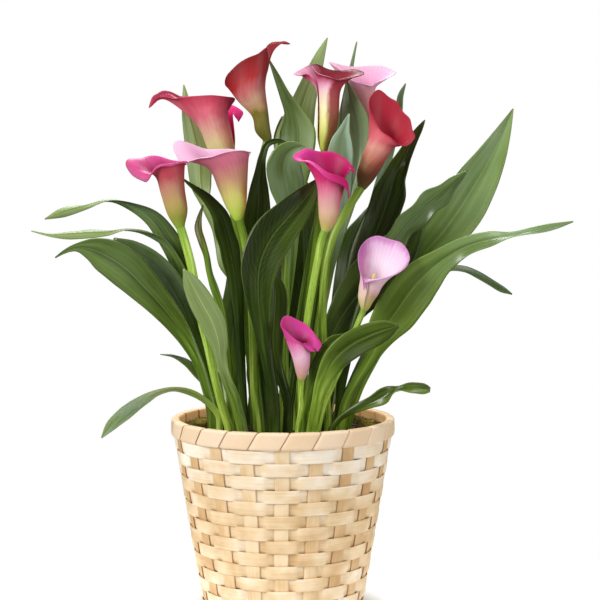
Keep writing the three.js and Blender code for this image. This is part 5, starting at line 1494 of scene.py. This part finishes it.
# %% The moss bed
MOUND_RADIUS = 66
MOSS_OUTER = 82.4
MOSS_FLOOR = 139.1
MOSS_HEIGHT = 8.4
MOSS_ROUGHNESS = 1.7
LUMP_SIZE = 3.4
MOSS_GAP = 0.4


def moss_finish():
    moss = Finish("moss")
    patches = moss.speckle(moss.place(), 90, 3.0)
    grain = moss.speckle(moss.place(), 900, 4.0, 0.7)
    tone = (patches * 0.6 + grain * 0.6 - 0.1).held()
    colour = moss.ramp(tone, (0.24, 32, 28, 6), (0.43, 74, 68, 17), (0.57, 120, 108, 32),
                       (0.75, 200, 174, 94))
    return moss.wear(Base_Color=colour, Roughness=0.85 + (grain - 0.5) * 0.2, Specular_IOR_Level=0.1,
                     Normal=moss.bump(grain, 0.8, 1.0 * MM))


def moss_bed(u, v):
    turn = math.tau * v
    middle = (MOUND_RADIUS + MOSS_GAP + MOSS_OUTER) / 2
    half = (MOSS_OUTER - MOUND_RADIUS - MOSS_GAP) / 2
    out = np.sign(np.cos(turn)) * np.abs(np.cos(turn)) ** 0.45
    up = np.sign(np.sin(turn)) * np.abs(np.sin(turn)) ** 0.45
    point = polar(middle + out * half, math.tau * u, MOSS_FLOOR + (up + 1) / 2 * MOSS_HEIGHT)
    rough = np.array([noise.fractal(Vector(p) / LUMP_SIZE, 0.8, 2.0, 4) for p in point])
    point[:, 2] += ease(up, 0.2, 0.9) * rough * MOSS_ROUGHNESS
    return point, {}


MOSS_FINISH = moss_finish()
bed = close_skin(lay_grid("moss_bed", 320, 40, moss_bed))
dress(bed, MOSS_FINISH, "moss", "moss")
print("moss bed:", len(bed.data.polygons), "faces")

# %% [markdown]
# Many short curled sprigs stand on the bed. One is modelled, with a handful of faces, and its copies are
# scattered with a seeded random draw. They are written into one mesh, because an operator for each of
# thousands of copies would take minutes.

# %% Moss sprigs
SPRIGS = 5600
SPRIG_LENGTH = 4.6
SPRIG_RADIUS = 0.24
SPRIG_CURL = 2.0
SPRIG_SINK = 0.8
INNER_SPRIG_HEIGHT = 144.2


def scattered(name, original, placements):
    """One mesh with a copy of the original at each placement matrix."""
    source = original.data
    count = len(source.vertices)
    flat = np.empty(count * 3)
    source.vertices.foreach_get("co", flat)
    corners = np.c_[flat.reshape(-1, 3), np.ones(count)]
    faces = [tuple(face.vertices) for face in source.polygons]
    points, joined = [], []
    for k, matrix in enumerate(placements):
        points.append((corners @ np.array(matrix).T)[:, :3])
        joined += [tuple(i + k * count for i in face) for face in faces]
    mesh = bpy.data.meshes.new(name)
    mesh.from_pydata(np.concatenate(points).tolist(), [], joined)
    piece = bpy.data.objects.new(name, mesh)
    bpy.context.scene.collection.objects.link(piece)
    bpy.data.objects.remove(original)
    take(piece)
    bpy.ops.object.shade_smooth()
    return piece


def set_down(angle, radius, height):
    """The matrix that carries a copy to its place in the pot."""
    return Matrix.Translation(Vector((radius * math.cos(angle), radius * math.sin(angle), height)) * MM)


def moss_sprig(u, v):
    turn = math.tau * u
    radius = SPRIG_RADIUS * (1 - v * 0.8)
    bend = SPRIG_CURL * v**2
    point = [radius * np.cos(turn) + bend, radius * np.sin(turn), SPRIG_LENGTH * v - SPRIG_SINK]
    return np.stack(point, axis=-1), {}


def sprig_place():
    angle = rng.uniform(0, math.tau)
    radius = rng.uniform(MOUND_RADIUS - 4, MOSS_OUTER - 1.2)
    lift = MOSS_FLOOR + MOSS_HEIGHT - 1.6 if radius > MOUND_RADIUS + 1 else INNER_SPRIG_HEIGHT
    height = lift + rng.uniform(-0.6, 0.6)
    lean = Matrix.Rotation(rng.uniform(0, math.tau), 4, "Z")
    lean = lean @ Matrix.Rotation(rng.uniform(0.1, 1.35), 4, "Y")
    return set_down(angle, radius, height) @ lean @ Matrix.Scale(rng.uniform(0.6, 1.2), 4)


rng = random.Random(7)
first_sprig = close_skin(lay_grid("sprig", 4, 3, moss_sprig))
sprigs = scattered("moss_sprigs", first_sprig, [sprig_place() for _ in range(SPRIGS)])
dress(sprigs, MOSS_FINISH, "moss", "moss")
print("sprigs:", len(sprigs.data.polygons), "faces")

# %% [markdown]
# Potting mix has bits of bark in it. A crumb is a squashed ball, scattered over the soil in the same way.
# The soil's own shape stays under its crumbs, so after the crumbs have taken its place in the frame it is
# shown again.

# %% Soil crumbs
CRUMBS = 900
CRUMB_RADIUS = 1.5
CRUMB_SHAPE = (1.5, 0.9, 0.6)
SOIL_RADIUS = 64.5
SOIL_TOP = 145.2


def crumb_place():
    angle, radius = rng.uniform(0, math.tau), SOIL_RADIUS * math.sqrt(rng.random())
    height = SOIL_TOP + rng.uniform(-0.3, 0.4)
    turn = Matrix.Rotation(rng.uniform(0, math.tau), 4, "Z")
    turn = turn @ Matrix.Rotation(rng.uniform(-0.6, 0.6), 4, "X")
    return set_down(angle, radius, height) @ turn @ Matrix.Scale(rng.uniform(0.4, 1.25), 4)


bpy.ops.object.select_all(action="DESELECT")
bpy.ops.mesh.primitive_ico_sphere_add(subdivisions=1, radius=CRUMB_RADIUS * MM)
first_crumb = bpy.context.object
first_crumb.scale = CRUMB_SHAPE
bpy.ops.object.transform_apply(location=False, rotation=False, scale=True)
crumbs = scattered("soil_crumbs", first_crumb, [crumb_place() for _ in range(CRUMBS)])
dress(crumbs, SOIL_FINISH, "soil", "soil")
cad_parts["soil"].hide_render = False
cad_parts["soil"].hide_viewport = False
print("crumbs:", len(crumbs.data.polygons), "faces")

# %% [markdown]
# ## The floor and the white surround
#
# A plain pale floor gives the basket something to stand on and takes its shadow. It fades out before it
# would draw a horizon, and right round the foot it is painted a little darker, a painted shadow where no
# lamp gets in. Behind it is a white dome that only the camera sees: if the dome lit the plant too, every
# shadow between the leaves would be washed out. The floor's distances are in metres.

# %% Floor and dome
FOOT_SHADOW = (0.062, 0.1)
FLOOR_FADE = (0.08, 0.34)

bpy.ops.object.select_all(action="DESELECT")
bpy.ops.mesh.primitive_plane_add(size=3)
floor = bpy.context.object
floor.name = floor.data.name = "floor"
paper = Finish("floor_paper")
from_middle = paper.node("ShaderNodeVectorMath", {"operation": "LENGTH"}, paper.place())
sheet = paper.blend(paper.speckle(paper.place(), 30, 2.0), (0.9, 0.9, 0.89, 1), (0.94, 0.94, 0.93, 1))
# The grey ring round the foot, set by FOOT_SHADOW, is a painted shadow.
floor.data.materials.append(paper.wear(
    Base_Color=paper.blend(1 - from_middle.step(*FOOT_SHADOW), sheet, (0.5, 0.5, 0.5, 1)), Roughness=0.9,
    Alpha=1 - from_middle.step(*FLOOR_FADE), Emission_Color=(1, 1, 1, 1), Emission_Strength=0.12,
))

bpy.ops.object.select_all(action="DESELECT")
bpy.ops.mesh.primitive_uv_sphere_add(segments=48, ring_count=24, radius=7)
dome = bpy.context.object
dome.name = dome.data.name = "dome"
white = Finish("dome_white")
dome.data.materials.append(white.wear(
    Base_Color=(0, 0, 0, 1), Specular_IOR_Level=0.0, Emission_Color=(1, 1, 1, 1), Emission_Strength=1.0,
))
dome.visible_diffuse = dome.visible_glossy = dome.visible_transmission = dome.visible_shadow = False
print("floor laid, dome raised")
